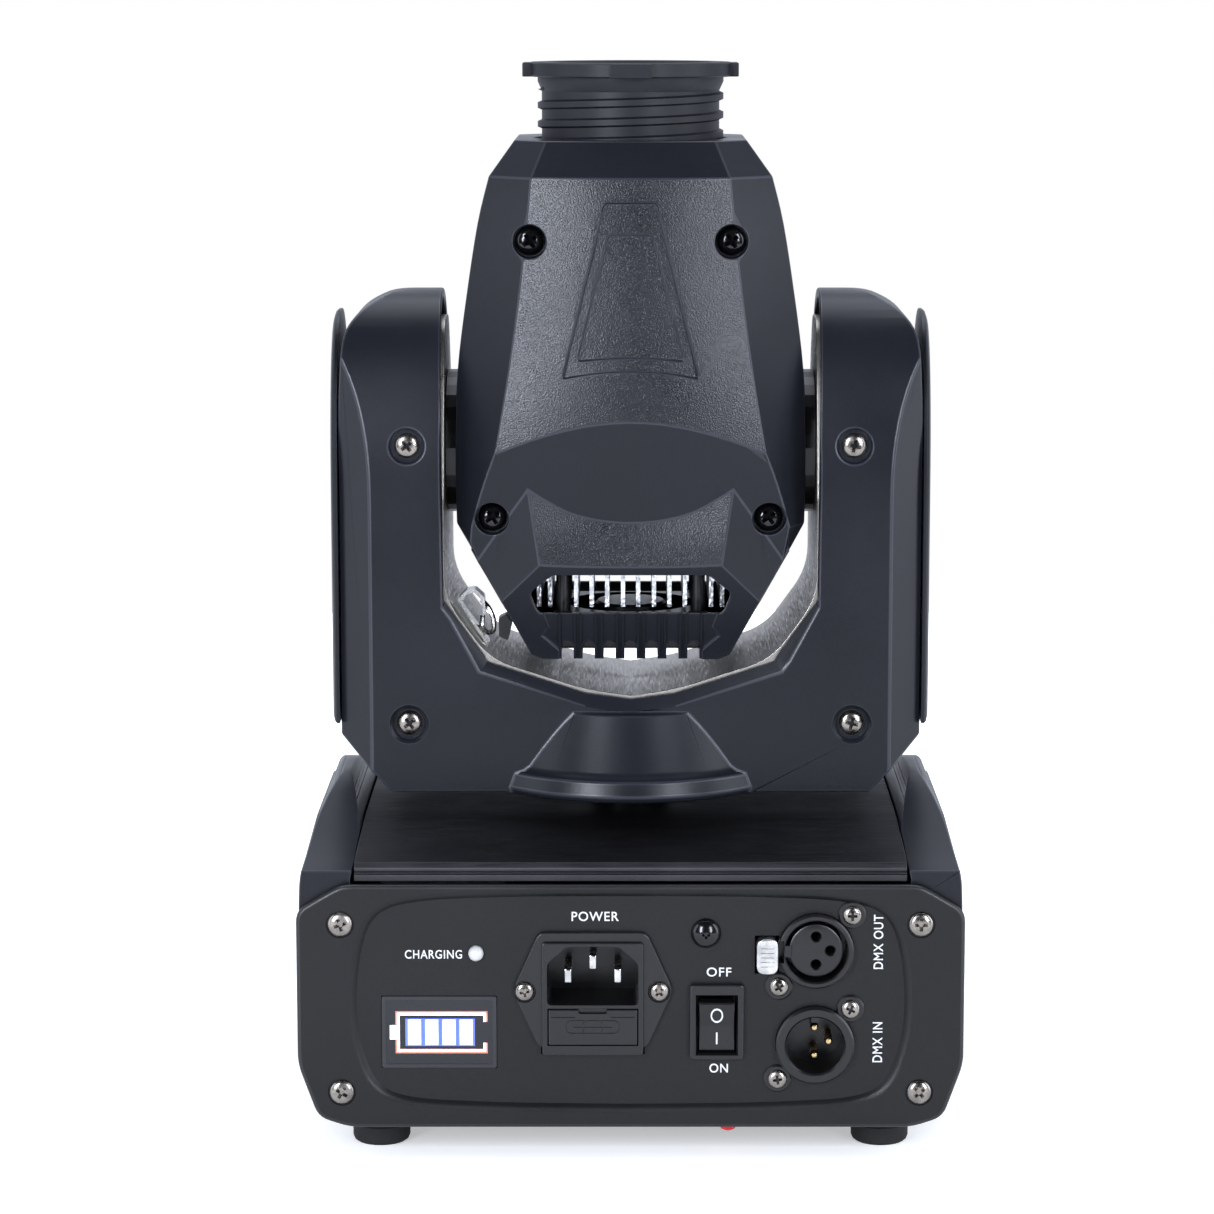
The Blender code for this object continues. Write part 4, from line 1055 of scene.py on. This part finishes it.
def make_cable_clip():
    """A bent tab, a wire loop and a plastic clamp that hold the head's cable to the bracket."""
    tab = [(-50.2, 150.6), (-49.0, 149.9), (-47.6, 152.0), (-45.6, 152.4), (-43.6, 150.4),
           (-43.0, 146.0), (-42.2, 146.0), (-42.6, 151.0), (-45.2, 153.4), (-48.0, 153.0)]
    strip = prism("tab", soften(tab, 0.6, 3), -20.0, -13.2, "Y")
    foot = prism("foot", [(-50.5, 149.9), (-49.6, 149.3), (-41.2, 137.6), (-42.1, 137.0)],
                 -19.6, -13.6, "Y")
    loop = tube("loop", [(-43.4, -16.6, 149.6), (-41.2, -18.2, 147.2), (-39.9, -18.4, 143.2),
                         (-40.8, -16.8, 140.2), (-43.2, -15.4, 141.0), (-43.4, -15.0, 145.0)], 0.75)
    look = fuse("look_cable_clip", [strip, foot, loop])
    piece(look, "yoke", "bright_metal", "bright", "cable_clip", smooth=40)
    clamp = prism("cable_clamp", soften([(-38.4, 139.2), (-35.8, 138.0), (-34.4, 143.6),
                                         (-36.2, 146.0), (-38.6, 144.8)], 0.7, 3), -19.4, -14.2, "Y")
    piece(bevel(clamp, 0.3, 2, 30), "yoke", "black_plastic", "black", smooth=40)


def make_tilt_hubs():
    for side, name in ((-1, "left"), (1, "right")):
        washer = turned(f"tilt_washer_{name}", [(20.6, 50.75), (20.6, 53.3), (19.8, 53.6),
                                                (9.5, 53.6), (9.5, 50.75)],
                        (0, 0, TILT_Z), "X", steps=64, closed=True)
        if side < 0:
            washer.data.transform(Matrix.Scale(-1, 4, (1, 0, 0)))
            washer.data.flip_normals()
        piece(washer, "head", "black_plastic", "black", smooth=35)


# ---------------------------------------------------------------- base


def panel_outline():
    return soften(both_sides([
        (79.1, 9.1), (88.0, 12.0), (93.6, 27.5), (93.6, 71.6), (84.1, 77.3), (80.4, 79.1),
    ]), 3.2, 5)


def recess_outline():
    half = [(0, 15.5), (35.0, 15.9), (60.0, 17.0), (69.1, 19.5), (73.5, 25.0),
            (76.6, 36.0), (77.2, 46.3), (76.2, 58.0), (73.5, 68.0), (68.0, 73.0),
            (55.0, 75.0), (30.0, 75.8), (0, 75.9)]
    return soften(half + [(-x, z) for x, z in reversed(half[1:-1])], 8.0, 4)


def panel_form(name, side):
    """The moulded end panel: a rolled outer edge and a bowed recess with a sloping rim."""
    panel = prism(name, panel_outline(), *sorted((side * 80.0, side * 77.0)), "Y")
    bevel(panel, 1.1, 4, 40)
    inside = recess_outline()
    rings = [[(x, side * y, z) for x, z in grown(inside, amount)]
             for amount, y in ((2.5, 80.6), (2.0, 79.98), (1.3, 79.82), (0.6, 79.4), (0.1, 78.85),
                               (-0.2, 78.6))]
    return cut(panel, loft("recess", rings))


def panel_wells(panel, side, floor):
    profile = [(0, 84.0), (6.0, 84.0), (3.95, 80.02), (3.8, floor), (0, floor)]
    for s in (-1, 1):
        for z in PANEL_SCREW_Z:
            cut(panel, turned("well", [(r, -side * h) for r, h in profile],
                              (s * PANEL_SCREW_X, 0, z), "Y", 40))


def panel_screws(name, side, seat):
    x = PANEL_SCREW_X
    for z in PANEL_SCREW_Z:
        for s in (-1, 1):
            screw(f"{name}_screw_{'lr'[s > 0]}_{int(z)}", (s * x, side * seat, z), (0, side, 0),
                  3.5, "nickel", 1.5, "base", 30.0 + s * x + z)


def make_rear_panel():
    panel = panel_form("look_rear_panel", -1)
    x, z = INLET
    low, high = -83.0, -75.0
    holes = [block("hole", (x - 14.6, low, z - 18.7), (x + 14.6, high, z + 14.4)),
             block("hole", (SWITCH[0] - 7.2, low, SWITCH[1] - 10.4),
                   (SWITCH[0] + 7.2, high, SWITCH[1] + 10.6)),
             drum("hole", 10.7, low, high, DMX_OUT, "Y"), drum("hole", 11.2, low, high, DMX_IN, "Y"),
             drum("hole", 2.35, low, high, CHARGING_LED, "Y"),
             block("hole", (LATCH[0] - 3.5, low, LATCH[1] - 5.5),
                   (LATCH[0] + 3.4, high, LATCH[1] + 5.5)),
             block("hole", (GAUGE[0] - 16.25, low, GAUGE[1] - 10.45),
                   (GAUGE[0] + 16.25, high, GAUGE[1] + 10.45))]
    for hole in holes:
        cut(panel, hole)
    panel_wells(panel, -1, 79.6)
    piece(panel, "base", "panel_plastic", "panel", "rear_panel", smooth=30)
    panel_screws("rear_panel", -1, 79.55)


def make_front_panel():
    panel = panel_form("look_front_panel", 1)
    cut(panel, block("hole", (-38.3, 75, 39.7), (2.3, 83, 60.3)))
    panel_wells(panel, 1, 78.9)
    for x in MENU_X:
        cut(panel, drum("hole", 3.8, 75, 83, (x, 50.0), "Y"))
    piece(panel, "base", "panel_plastic", "panel", "front_panel", smooth=30)
    panel_screws("front_panel", 1, 78.9)


RAIL = ((-76.7, 82.5), (-64.0, 84.8), (-50.0, 88.0), (-27.0, 95.0), (-12.0, 97.5))


def arch_outline(lift=0.0):
    ridge = [(y, z + lift) for y, z in RAIL]
    return soften([(-76.7, 8.0)] + ridge + [(-y, z) for y, z in reversed(ridge)] + [(76.7, 8.0)],
                  9.0, 4, which=set(range(2, 10)))


def cheek_section(side, out=0.0):
    section = [(78.4, 9.6), (87.5 + out, 12.4), (93.0 + out, 28.0), (93.0 + out, 72.0),
               (92.7 + out, 80.0), (90.4 + out, 90.0), (88.0 + out, 94.6), (85.4, 97.6),
               (82.4, 97.6), (79.6, 93.6), (77.6, 88.0), (77.6, 84.0), (78.4, 80.0)]
    return [(side * x, z) for x, z in soften(section, 2.4, 4, which={1, 2, 4, 5, 6, 7, 8, 9})]


def make_cheeks():
    depth = 76.7
    for side, name in ((-1, "left"), (1, "right")):
        cheek = prism(f"look_base_cheek_{name}", cheek_section(side), -depth, depth, "Y")
        keep_common(cheek, prism("arch", arch_outline(), -100, 100, "X"))
        band = prism("band", cheek_section(side, 0.55), -60.0, 60.0, "Y")
        shape = [(-58.0, 70.0), (-58.0, 77.5), (-30.0, 89.5), (30.0, 89.5), (58.0, 77.5),
                 (58.0, 70.0), (28.0, 82.0), (-28.0, 82.0)]
        keep_common(band, prism("band_shape", soften(shape, 3.0, 3), *sorted((side * 88.0,
                                                                              side * 99.0)), "X"))
        keep_common(band, prism("arch", arch_outline(-2.0), -100, 100, "X"))
        join(cheek, band)
        hollow = [(side * x, z) for x, z in ((60, 14), (86.3, 14.8), (90.2, 28.6), (90.2, 70.0),
                                             (80.5, 79.0), (60, 79.0))]
        cut(cheek, prism("hollow", hollow, -depth + WALL, depth - WALL, "Y"))
        bevel(cheek, 0.4, 3, 32)
        piece(cheek, "base", "shell_plastic", "shell", f"base_cheek_{name}", smooth=30)


def make_top_cover():
    top = [(-77.5, 83.4), (-76.4, 84.9), (-70, 86.0), (-30, 88.8), (30, 88.8), (70, 86.0),
           (76.4, 84.9), (77.5, 83.4)]
    under = [(77.5, 82.5), (76.9, 82.2), (76.9, 81.8), (77.5, 81.5), (77.5, 79.6), (75.8, 79.6),
             (75.8, 83.2), (70, 84.6), (30, 87.4), (-30, 87.4), (-70, 84.6), (-75.8, 83.2),
             (-75.8, 79.6), (-77.5, 79.6), (-77.5, 81.5), (-76.9, 81.8), (-76.9, 82.2),
             (-77.5, 82.5)]
    outline = soften(top + under, 6.0, 4, which={2, 3, 4, 5})
    cover = prism("look_base_top_cover", outline, -77.3, 77.3, "X")
    cut(cover, drum("pan_hole", 14.0, 80, 95, steps=72))
    bevel(cover, 0.3, 2, 35)
    piece(cover, "base", "black_sheet", "sheet", "base_top_cover", smooth=30)


def make_feet():
    for i, (x, y) in enumerate(((-1, -1), (1, -1), (-1, 1), (1, 1))):
        profile = [(0, 9.1), (8.25, 9.1), (8.25, 6.4), (7.9, 6.1), (7.9, 5.5), (8.2, 5.2),
                   (8.2, 1.6), (7.8, 0.6), (7.0, 0.0), (3.4, 0.0), (3.2, 1.8), (0, 1.8)]
        foot = turned(f"look_foot_{i + 1}", profile, (x * 71.4, y * 60.0, 0), steps=48)
        piece(foot, "base", "rubber", "rubber", f"foot_{i + 1}", smooth=35)
        screw(f"foot_screw_{i + 1}", (x * 71.4, y * 60.0, 1.8), (0, 0, -1), 2.4, "nickel", 1.2,
              "base", 15.0 * i)


def hexagon(x, z, half_width, half_height, flat):
    return [(x - half_width, z), (x - flat, z + half_height), (x + flat, z + half_height),
            (x + half_width, z), (x + flat, z - half_height), (x - flat, z - half_height)]


def make_inlet():
    x, z = INLET
    outline = soften(hexagon(x, z, 22.6, 16.7, 15.1), 2.2, 4)
    inlet = prism("look_power_inlet", outline, -80.2, -78.9, "Y")
    bevel(inlet, 0.35, 3, 40)
    body = rectangle(x - 14.2, z - 18.3, x + 14.2, z + 14.0)
    join(inlet, bevel(prism("body", soften(body, 1.0, 3), -81.5, -56.0, "Y"), 0.35, 2, 40))
    mouth = [(x - 12.8, 45.0), (x + 12.8, 45.0), (x + 12.8, 57.0), (x + 7.3, 61.9),
             (x - 7.3, 61.9), (x - 12.8, 57.0)]
    cut(inlet, prism("mouth", soften(mouth, 1.4, 4), -83, -62, "Y"))
    cut(inlet, block("fuse_slot", (x - 12.7, -83, 33.3), (x + 12.8, -59, 44.1)))
    for sx in (-29.7, 8.0):
        cut(inlet, turned("well", [(0, 84.0), (5.8, 84.0), (3.1, 80.1), (2.9, 79.7), (0, 79.7)],
                          (sx, 0, 48.6), "Y", 32))
        screw(f"inlet_screw_{'lr'[sx > 0]}", (sx, -79.65, 48.6), (0, -1, 0), 2.7, "nickel", 1.3,
              "base", 40 + sx)
    piece(inlet, "base", "black_plastic", "black", "power_inlet", smooth=30)
    for i, (px, pz) in enumerate(((x - 7.0, 52.0), (x + 7.0, 52.0), (x, 56.0))):
        blade = block(f"inlet_blade_{i + 1}", (px - 1.0, -76.0, pz - 2.0), (px + 1.0, -61.5, pz + 2.0))
        piece(bevel(blade, 0.45, 2, 30), "base", "bright_metal", "bright", smooth=35)


def make_fuse_drawer():
    x = INLET[0]
    drawer = block("look_fuse_drawer", (x - 12.4, -81.8, 33.6), (x + 12.5, -60, 43.8))
    bevel(drawer, 0.4, 3, 30)
    cut(drawer, block("bay", (x - 9, -78, 36), (x + 9, -62, 45)))
    # Finger notch at the top, step lines, and the raised outline of a fuse.
    notch = rectangle(x - 4.0, 45.0, x + 4.0, 42.6)
    cut(drawer, prism("notch", soften(notch, 0.5, 2, {2, 3}), -83, -80.6, "Y"))
    groove = rectangle(x - 11.6, 41.9, x - 5.0, 41.5)
    for s in (-1, 1):
        side = [(x + s * (px - x), pz) for px, pz in groove]
        cut(drawer, prism("groove", side, -83, -81.45, "Y"))
    for half, tall, thick in ((7.6, 2.0, 0.35), (3.0, 2.0, 0.35), (5.4, 0.32, 0.0)):
        ring = soften(rectangle(x - half, 39.0 - tall, x + half, 39.0 + tall), tall * 0.9, 4)
        sunk = prism("line", ring, -83, -81.5, "Y")
        if thick:
            inner = [(x + (a - x) * (half - thick) / half, 39.0 + (b - 39.0) * (tall - thick) / tall)
                     for a, b in ring]
            cut(sunk, prism("inside", inner, -84, -80, "Y"))
        cut(drawer, sunk)
    piece(drawer, "fuse_drawer", "black_plastic", "black", "fuse_drawer", smooth=30)


def make_switch():
    x, z = SWITCH
    rim = soften(rectangle(x - 7.6, z - 10.0, x + 7.6, z + 11.6), 1.0, 3)
    case = prism("look_power_switch_frame", rim, -80.6, -78.9, "Y")
    bevel(case, 0.45, 3, 40)
    join(case, block("body", (x - 6.9, -79.5, z - 9.5), (x + 6.9, -62, z + 10.2)))
    rings = [[(px, y, pz) for px, pz in rectangle(x - a, z - b, x + a, z + b)]
             for a, b, y in ((6.2, 9.0, -81.0), (5.9, 8.7, -80.55), (5.4, 8.2, -79.4),
                             (5.4, 8.2, -69.0))]
    cut(case, loft("well", rings))
    piece(case, "base", "black_plastic", "black", "power_switch_frame", smooth=30)
    face = [(-3.5, -7.4), (-2.9, -3.6), (-2.5, 0), (-2.9, 3.6), (-3.5, 7.4), (2.0, 6.4),
            (5.5, 0), (2.0, -6.4)]
    rocker = prism("look_power_rocker", soften(face, 0.5, 3), x - 5.0, x + 5.0, "X")
    bevel(rocker, 0.35, 2, 40)
    ring = turned("mark_o", [(1.75, -0.02), (1.75, 0.10), (1.35, 0.10), (1.35, -0.02)],
                  (0, 0, 0), steps=40, closed=True)
    ring.data.transform(Matrix.Scale(1.35, 4, (0, 1, 0)))
    bar = block("mark_i", (-0.22, -1.7, -0.02), (0.22, 1.7, 0.10))
    tilt = (Matrix.Translation(Vector((0, ROCKER_PIVOT_Y, z)) * MM)
            @ Matrix.Rotation(math.radians(ROCKER_TILT), 4, "X"))
    lay = {"O": (ring, (x, -2.98, 3.4), 8.0), "I": (bar, (x, -2.98, -3.6), -8.0)}
    for mark, (item, at, lean) in lay.items():
        item.data.transform(tilt @ Matrix.Translation(Vector(at) * MM)
                            @ Matrix.Rotation(math.radians(90 + lean), 4, "X"))
        item.name = f"rocker_mark_{mark}"
        piece(item, "power_rocker", "lamp_lens", "ink")
    rocker.data.transform(tilt)
    piece(rocker, "power_rocker", "black_plastic", "black", "power_rocker", smooth=30)


def around(centre, radius, degrees):
    t = math.radians(degrees)
    return centre[0] + radius * math.cos(t), centre[1] + radius * math.sin(t)


def make_data_connectors():
    x, z = DMX_OUT
    profile = [(0, 79.5), (6.9, 79.5), (7.5, 79.2), (7.5, 70.0), (8.8, 70.0), (8.8, 80.7),
               (9.2, 81.2), (10.1, 81.2), (10.55, 80.8), (10.55, 56.0), (0, 56.0)]
    out = turned("look_dmx_out_shell", profile, (x, 0, z), "Y", 72)
    for degrees in (90, 0, -90):
        spot = around(DMX_OUT, 4.0, degrees)
        cone = [(0, 83), (1.9 + 3.2, 83), (1.35, 79.2), (1.35, 72.0), (0, 72.0)]
        cut(out, turned("socket", cone, (spot[0], 0, spot[1]), "Y", 24))
    key = around(DMX_OUT, 8.6, 180)
    join(out, block("key", (key[0] - 1.0, -80.4, key[1] - 1.6), (key[0] + 1.6, -71, key[1] + 1.6)))
    cut(out, block("latch_gap", (x - 12, -83, z - 3.2), (x - 9.0, -76, z + 3.2)))
    piece(out, "base", "black_plastic", "black", "dmx_out_shell", smooth=30)
    x, z = DMX_IN
    profile = [(0, 66.0), (8.1, 66.0), (8.1, 80.6), (8.6, 81.2), (10.5, 81.2), (11.05, 80.7),
               (11.05, 56.0), (0, 56.0)]
    cup = turned("look_dmx_in_shell", profile, (x, 0, z), "Y", 72)
    join(cup, block("key", (x - 1.1, -80.0, z + 6.6), (x + 1.1, -66, z + 8.6)))
    piece(cup, "base", "black_plastic", "black", "dmx_in_shell", smooth=30)
    for i, degrees in enumerate((90, 0, -90)):
        spot = around(DMX_IN, 4.0, degrees)
        pin = turned(f"dmx_in_pin_{i + 1}", [(0, 76.2), (0.7, 76.0), (1.15, 75.2), (1.2, 65.5),
                                             (0, 65.5)], (spot[0], 0, spot[1]), "Y", 24)
        piece(pin, "base", "bright_metal", "brass", smooth=35)
    for i, (sx, sz) in enumerate(((62.0, 70.4), (41.6, 49.9), (61.7, 43.4), (41.3, 23.2))):
        plate = turned("ear", [(0, 79.5), (3.5, 79.5), (3.9, 79.2), (3.9, 78.5), (0, 78.5)],
                       (sx, 0, sz), "Y", 40)
        plate.name = f"dmx_ear_{i + 1}"
        piece(plate, "base", "black_plastic", "black", smooth=35)
        screw(f"dmx_screw_{i + 1}", (sx, -79.4, sz), (0, -1, 0), 2.7, "nickel", 1.3, "base",
              33.0 * i)
    x, z = LATCH
    outline = soften(rectangle(x - 3.1, z - 5.1, x + 3.0, z + 5.1), 2.4, 5)
    latch = prism("look_dmx_out_latch", outline, -81.6, -76.4, "Y")
    bevel(latch, 0.5, 3, 40)
    for dz in (-2.6, -1.3, 0.0, 1.3, 2.6):
        cut(latch, block("grip", (x - 1.9, -82, z + dz - 0.28), (x + 1.8, -81.3, z + dz + 0.28)))
    piece(latch, "dmx_latch", "bright_metal", "bright", "dmx_out_latch", smooth=35)


def make_indicators():
    profile = [(0, 80.9), (0.9, 80.75), (1.6, 80.3), (2.05, 79.6), (2.15, 78.8), (2.15, 76.2),
               (0, 76.2)]
    led = turned("look_charging_led", profile, (CHARGING_LED[0], 0, CHARGING_LED[1]), "Y", 40)
    piece(led, "base", "lamp_lens", "lens", "charging_led", smooth=40)
    x, z = GAUGE
    outline = soften(rectangle(x - 16.1, z - 10.3, x + 16.1, z + 10.3), 0.5, 3)
    window = prism("look_battery_gauge", outline, -78.75, -76.6, "Y")
    bevel(window, 0.2, 2, 40)
    piece(window, "base", "gauge_glass", "smoked", "battery_gauge")
    bezel = prism("gauge_bezel", outline, -78.95, -78.7, "Y")
    inner = [(x + (a - x) * 0.93, z + (b - z) * 0.90) for a, b in outline]
    cut(bezel, prism("inside", inner, -80, -77, "Y"))
    piece(bezel, "base", "gauge_glass", "bezel")
    gauge_icon()
    dome = turned("panel_dome_screw", [(0, 81.3), (1.6, 81.15), (3.0, 80.6), (3.9, 79.8),
                                       (4.25, 78.9), (4.25, 78.5), (0, 78.5)],
                  (DOME_SCREW[0], 0, DOME_SCREW[1]), "Y", 48)
    recess = cross_recess("recess", 1.0, 1.5, 0.35, 0.0)
    recess.data.transform(Matrix.Translation(Vector((DOME_SCREW[0], -81.2, DOME_SCREW[1])) * MM)
                          @ Matrix.Rotation(math.radians(90), 4, "X"))
    cut(dome, recess)
    piece(dome, "base", "black_plastic", "gloss", smooth=40)
    x, y = 27.6, -72.5
    profile = [(0, 14.0), (2.6, 14.0), (2.6, 8.4), (2.45, 7.5), (1.9, 6.8), (1.1, 6.4), (0, 6.3)]
    cap = turned("look_battery_button", profile, (x, y, 0), steps=40)
    piece(cap, "battery_button", "red_plastic", "red", "battery_button", smooth=40)


def gauge_icon():
    """A battery outline with four lit bars, printed and lit behind the window."""
    y0, y1 = -78.86, -78.74
    x0, x1, z0, z1 = -65.6, -40.6, 30.9, 42.2
    lines = {"lit_white": [], "lit_red": [], "lit_blue": []}

    def bar(kind, xa, za, xb, zb, lift=0.0):
        lines[kind].append(block("bar", (xa, y0 - lift, za), (xb, y1, zb)))

    thick = 0.75
    for kind, out in (("lit_red", 0.42), ("lit_white", 0.0)):
        lift = 0.0 if kind == "lit_red" else 0.02
        bar(kind, x0 - out, z0 - out, x1 + out, z0 + thick, lift)
        bar(kind, x0 - out, z1 - thick, x1 + out, z1 + out, lift)
        bar(kind, x0 - out, z0 + 0.1, x0 + thick, z1 - 0.1, lift + 0.01)
        bar(kind, x1 - thick, z0 + 0.1, x1 + out, z0 + 2.6, lift + 0.01)
        bar(kind, x1 - thick, z1 - 2.6, x1 + out, z1 - 0.1, lift + 0.01)
    bar("lit_white", x0 - 2.0, z0 + 3.6, x0 - 0.2, z1 - 3.6, 0.02)
    for i in range(4):
        left = x0 + 3.1 + i * 4.85
        bar("lit_white", left, z0 + 2.0, left + 3.6, z1 - 2.0, 0.03)
        bar("lit_blue", left - 0.75, z0 + 1.7, left + 4.2, z1 - 1.7, 0.0)
    for kind, bars in lines.items():
        piece(fuse(f"gauge_{kind}", bars), "base", "lamp_lens", kind)


def lettering(name, text, centre, length, height, upright=False):
    """A word in printed white on the panel, scaled to a length and a height."""
    font = bpy.data.curves.new(name, "FONT")
    font.body = text
    font.size = height * MM / 0.72
    font.extrude = 0.02 * MM
    font.offset = 0.035 * MM
    font.space_character = 1.12
    font.align_x = "CENTER"
    font.align_y = "CENTER"
    made = add_object(name + "_text", font)
    mesh = mesh_of(made)
    bpy.data.objects.remove(made, do_unlink=True)
    solid = bmesh.new()
    solid.from_mesh(mesh)
    bmesh.ops.remove_doubles(solid, verts=solid.verts, dist=1e-7)
    solid.to_mesh(mesh)
    solid.free()
    mesh.materials.clear()
    across = [v.co.x for v in mesh.vertices]
    upward = [v.co.y for v in mesh.vertices]
    wide, tall = max(across) - min(across), max(upward) - min(upward)
    middle = Vector(((max(across) + min(across)) / 2, (max(upward) + min(upward)) / 2, 0))
    mesh.transform(Matrix.Diagonal((length * MM / wide, height * MM / tall, 1, 1))
                   @ Matrix.Translation(-middle))
    turn = Matrix.Rotation(math.radians(90), 4, "X")
    if upright:
        turn = turn @ Matrix.Rotation(math.radians(90), 4, "Z")
    x, z = centre
    mesh.transform(Matrix.Translation(Vector((x, RECESS_Y - 0.03, z)) * MM) @ turn)
    return piece(add_object(name, mesh), "base", "lamp_lens", "ink")


def make_lettering():
    lettering("label_charging", "CHARGING", (-55.2, 59.0), 16.0, 2.5)
    lettering("label_power", "POWER", (-9.9, 69.9), 13.2, 2.7)
    lettering("label_off", "OFF", (24.8, 53.9), 6.9, 2.6)
    lettering("label_on", "ON", (24.8, 26.1), 5.2, 2.6)
    lettering("label_dmx_out", "DMX OUT", (69.4, 62.6), 15.6, 2.7, upright=True)
    lettering("label_dmx_in", "DMX IN", (69.4, 33.6), 11.6, 2.7, upright=True)


def make_menu():
    outline = rectangle(-38.0, 40.0, 2.0, 60.0)
    window = prism("look_display_window", soften(outline, 0.8, 3), 76.6, 78.95, "Y")
    bevel(window, 0.2, 2, 40)
    piece(window, "base", "gauge_glass", "smoked", "display_window")
    rim = prism("display_bezel", soften(rectangle(-41.0, 37.0, 5.0, 63.0), 2.5, 4),
                78.55, 79.5, "Y")
    cut(rim, prism("inside", soften(outline, 0.8, 3), 70, 85, "Y"))
    bevel(rim, 0.3, 2, 40)
    piece(rim, "base", "black_plastic", "black", smooth=30)
    for i, x in enumerate(MENU_X):
        profile = [(0, -80.2), (1.6, -80.25), (2.5, -80.4), (3.1, -80.4), (3.5, -79.9),
                   (3.5, -73.6), (0, -73.6)]
        button = turned(f"look_menu_button_{i + 1}", profile, (x, 0, 50.0), "Y", 40)
        piece(button, f"menu_{i + 1}", "black_plastic", "black", f"menu_button_{i + 1}", smooth=40)
        ring = turned(f"menu_ring_{i + 1}", [(5.0, -78.5), (5.0, -79.0), (4.6, -79.2), (4.0, -79.2),
                                             (4.0, -78.5)], (x, 0, 50.0), "Y", 40, closed=True)
        piece(ring, "base", "panel_plastic", "panel", smooth=35)


# ---------------------------------------------------------------- studio


def make_studio():
    floor_mesh = bmesh.new()
    bmesh.ops.create_circle(floor_mesh, cap_ends=True, segments=96, radius=0.9)
    floor = from_bmesh("studio_floor", floor_mesh)
    paper = Shader("studio_paper", (0.90, 0.90, 0.90), 0.85)
    paper.vary_rough(paper.noise(3.0, 2.0), 0.05)
    paper.bsdf.inputs["Emission Color"].default_value = (1.0, 1.0, 1.0, 1.0)
    away = paper.node("ShaderNodeVectorMath", operation="LENGTH")
    paper.link(paper.coords, away.inputs[0])
    direct = paper.node("ShaderNodeLightPath")
    share = paper.node("ShaderNodeMapRange")
    share.inputs["To Min"].default_value = 0.22
    paper.link(direct.outputs["Is Camera Ray"], share.inputs["Value"])
    glow = paper.node("ShaderNodeMath", operation="MULTIPLY")
    paper.link(paper.spread(away.outputs["Value"], 0.40, 1.0, 0.20, 0.8), glow.inputs[0])
    paper.link(share.outputs[0], glow.inputs[1])
    paper.link(glow.outputs[0], paper.bsdf.inputs["Emission Strength"])
    floor.data.materials.append(paper.material)

    world = bpy.data.worlds.new("studio")
    SCENE.world = world
    world.use_nodes = True
    tree = world.node_tree
    tree.nodes.clear()
    out = tree.nodes.new("ShaderNodeOutputWorld")
    seen, lit = (tree.nodes.new("ShaderNodeBackground") for _ in range(2))
    seen.inputs["Color"].default_value = (1.0, 1.0, 1.0, 1.0)
    seen.inputs["Strength"].default_value = 1.0
    # Bright paper behind the object, and a dark room on the camera's side.
    lit.inputs["Color"].default_value = (0.88, 0.94, 1.08, 1.0)
    coords = tree.nodes.new("ShaderNodeTexCoord")
    split = tree.nodes.new("ShaderNodeSeparateXYZ")
    room = tree.nodes.new("ShaderNodeMapRange")
    room.interpolation_type = "SMOOTHSTEP"
    for socket, value in (("From Min", -0.35), ("From Max", 0.80), ("To Min", 0.03),
                          ("To Max", 0.85)):
        room.inputs[socket].default_value = value
    tree.links.new(coords.outputs["Generated"], split.inputs[0])
    tree.links.new(split.outputs["Y"], room.inputs["Value"])
    tree.links.new(room.outputs[0], lit.inputs["Strength"])
    path = tree.nodes.new("ShaderNodeLightPath")
    mix = tree.nodes.new("ShaderNodeMixShader")
    tree.links.new(path.outputs["Is Camera Ray"], mix.inputs[0])
    tree.links.new(lit.outputs[0], mix.inputs[1])
    tree.links.new(seen.outputs[0], mix.inputs[2])
    tree.links.new(mix.outputs[0], out.inputs["Surface"])

    aim = Vector((0, 0, 0.17))
    for name, at, size, power in (
        ("softbox_left", (-1.10, -0.30, 0.40), (0.6, 1.2), 5.0),
        ("softbox_right", (1.10, -0.30, 0.45), (0.6, 1.2), 8.0),
        ("strip_left", (-0.69, -1.26, 0.55), (0.26, 0.80), 19.0),
        ("strip_right", (0.74, -1.24, 0.55), (0.26, 0.80), 12.5),
        ("softbox_top", (0.0, 0.35, 1.45), (1.6, 1.0), 12.0),
    ):
        lamp = bpy.data.lights.new(name, "AREA")
        lamp.shape = "RECTANGLE"
        lamp.size, lamp.size_y = size
        lamp.energy = power
        lamp.color = (0.90, 0.95, 1.06)
        holder = bpy.data.objects.new(name, lamp)
        SCENE.collection.objects.link(holder)
        holder.location = at
        holder.rotation_euler = (aim - Vector(at)).to_track_quat("-Z", "Y").to_euler()

    lens = bpy.data.cameras.new("camera")
    lens.sensor_width = 36.0
    lens.lens = 113.1
    lens.shift_x = -0.0194
    lens.clip_start, lens.clip_end = 0.05, 60.0
    camera = bpy.data.objects.new("camera", lens)
    SCENE.collection.objects.link(camera)
    camera.location = (0.0, -1.118, 0.324)
    camera.rotation_euler = (math.radians(90.0 - 9.1), 0.0, 0.0)
    SCENE.camera = camera
    SCENE.view_settings.view_transform = "Standard"
    SCENE.view_settings.look = "None"


# ---------------------------------------------------------------- build


paint_cad_nodes()
for side, name in ((-1, "rear"), (1, "front")):
    head_shell(side, name)
make_barrel()
make_head_details()
make_yoke_shells()
make_arm_covers()
make_bracket()
make_cable_clip()
make_tilt_hubs()
make_rear_panel()
make_front_panel()
make_cheeks()
make_top_cover()
make_feet()
make_inlet()
make_fuse_drawer()
make_switch()
make_data_connectors()
make_indicators()
make_lettering()
make_menu()
make_studio()
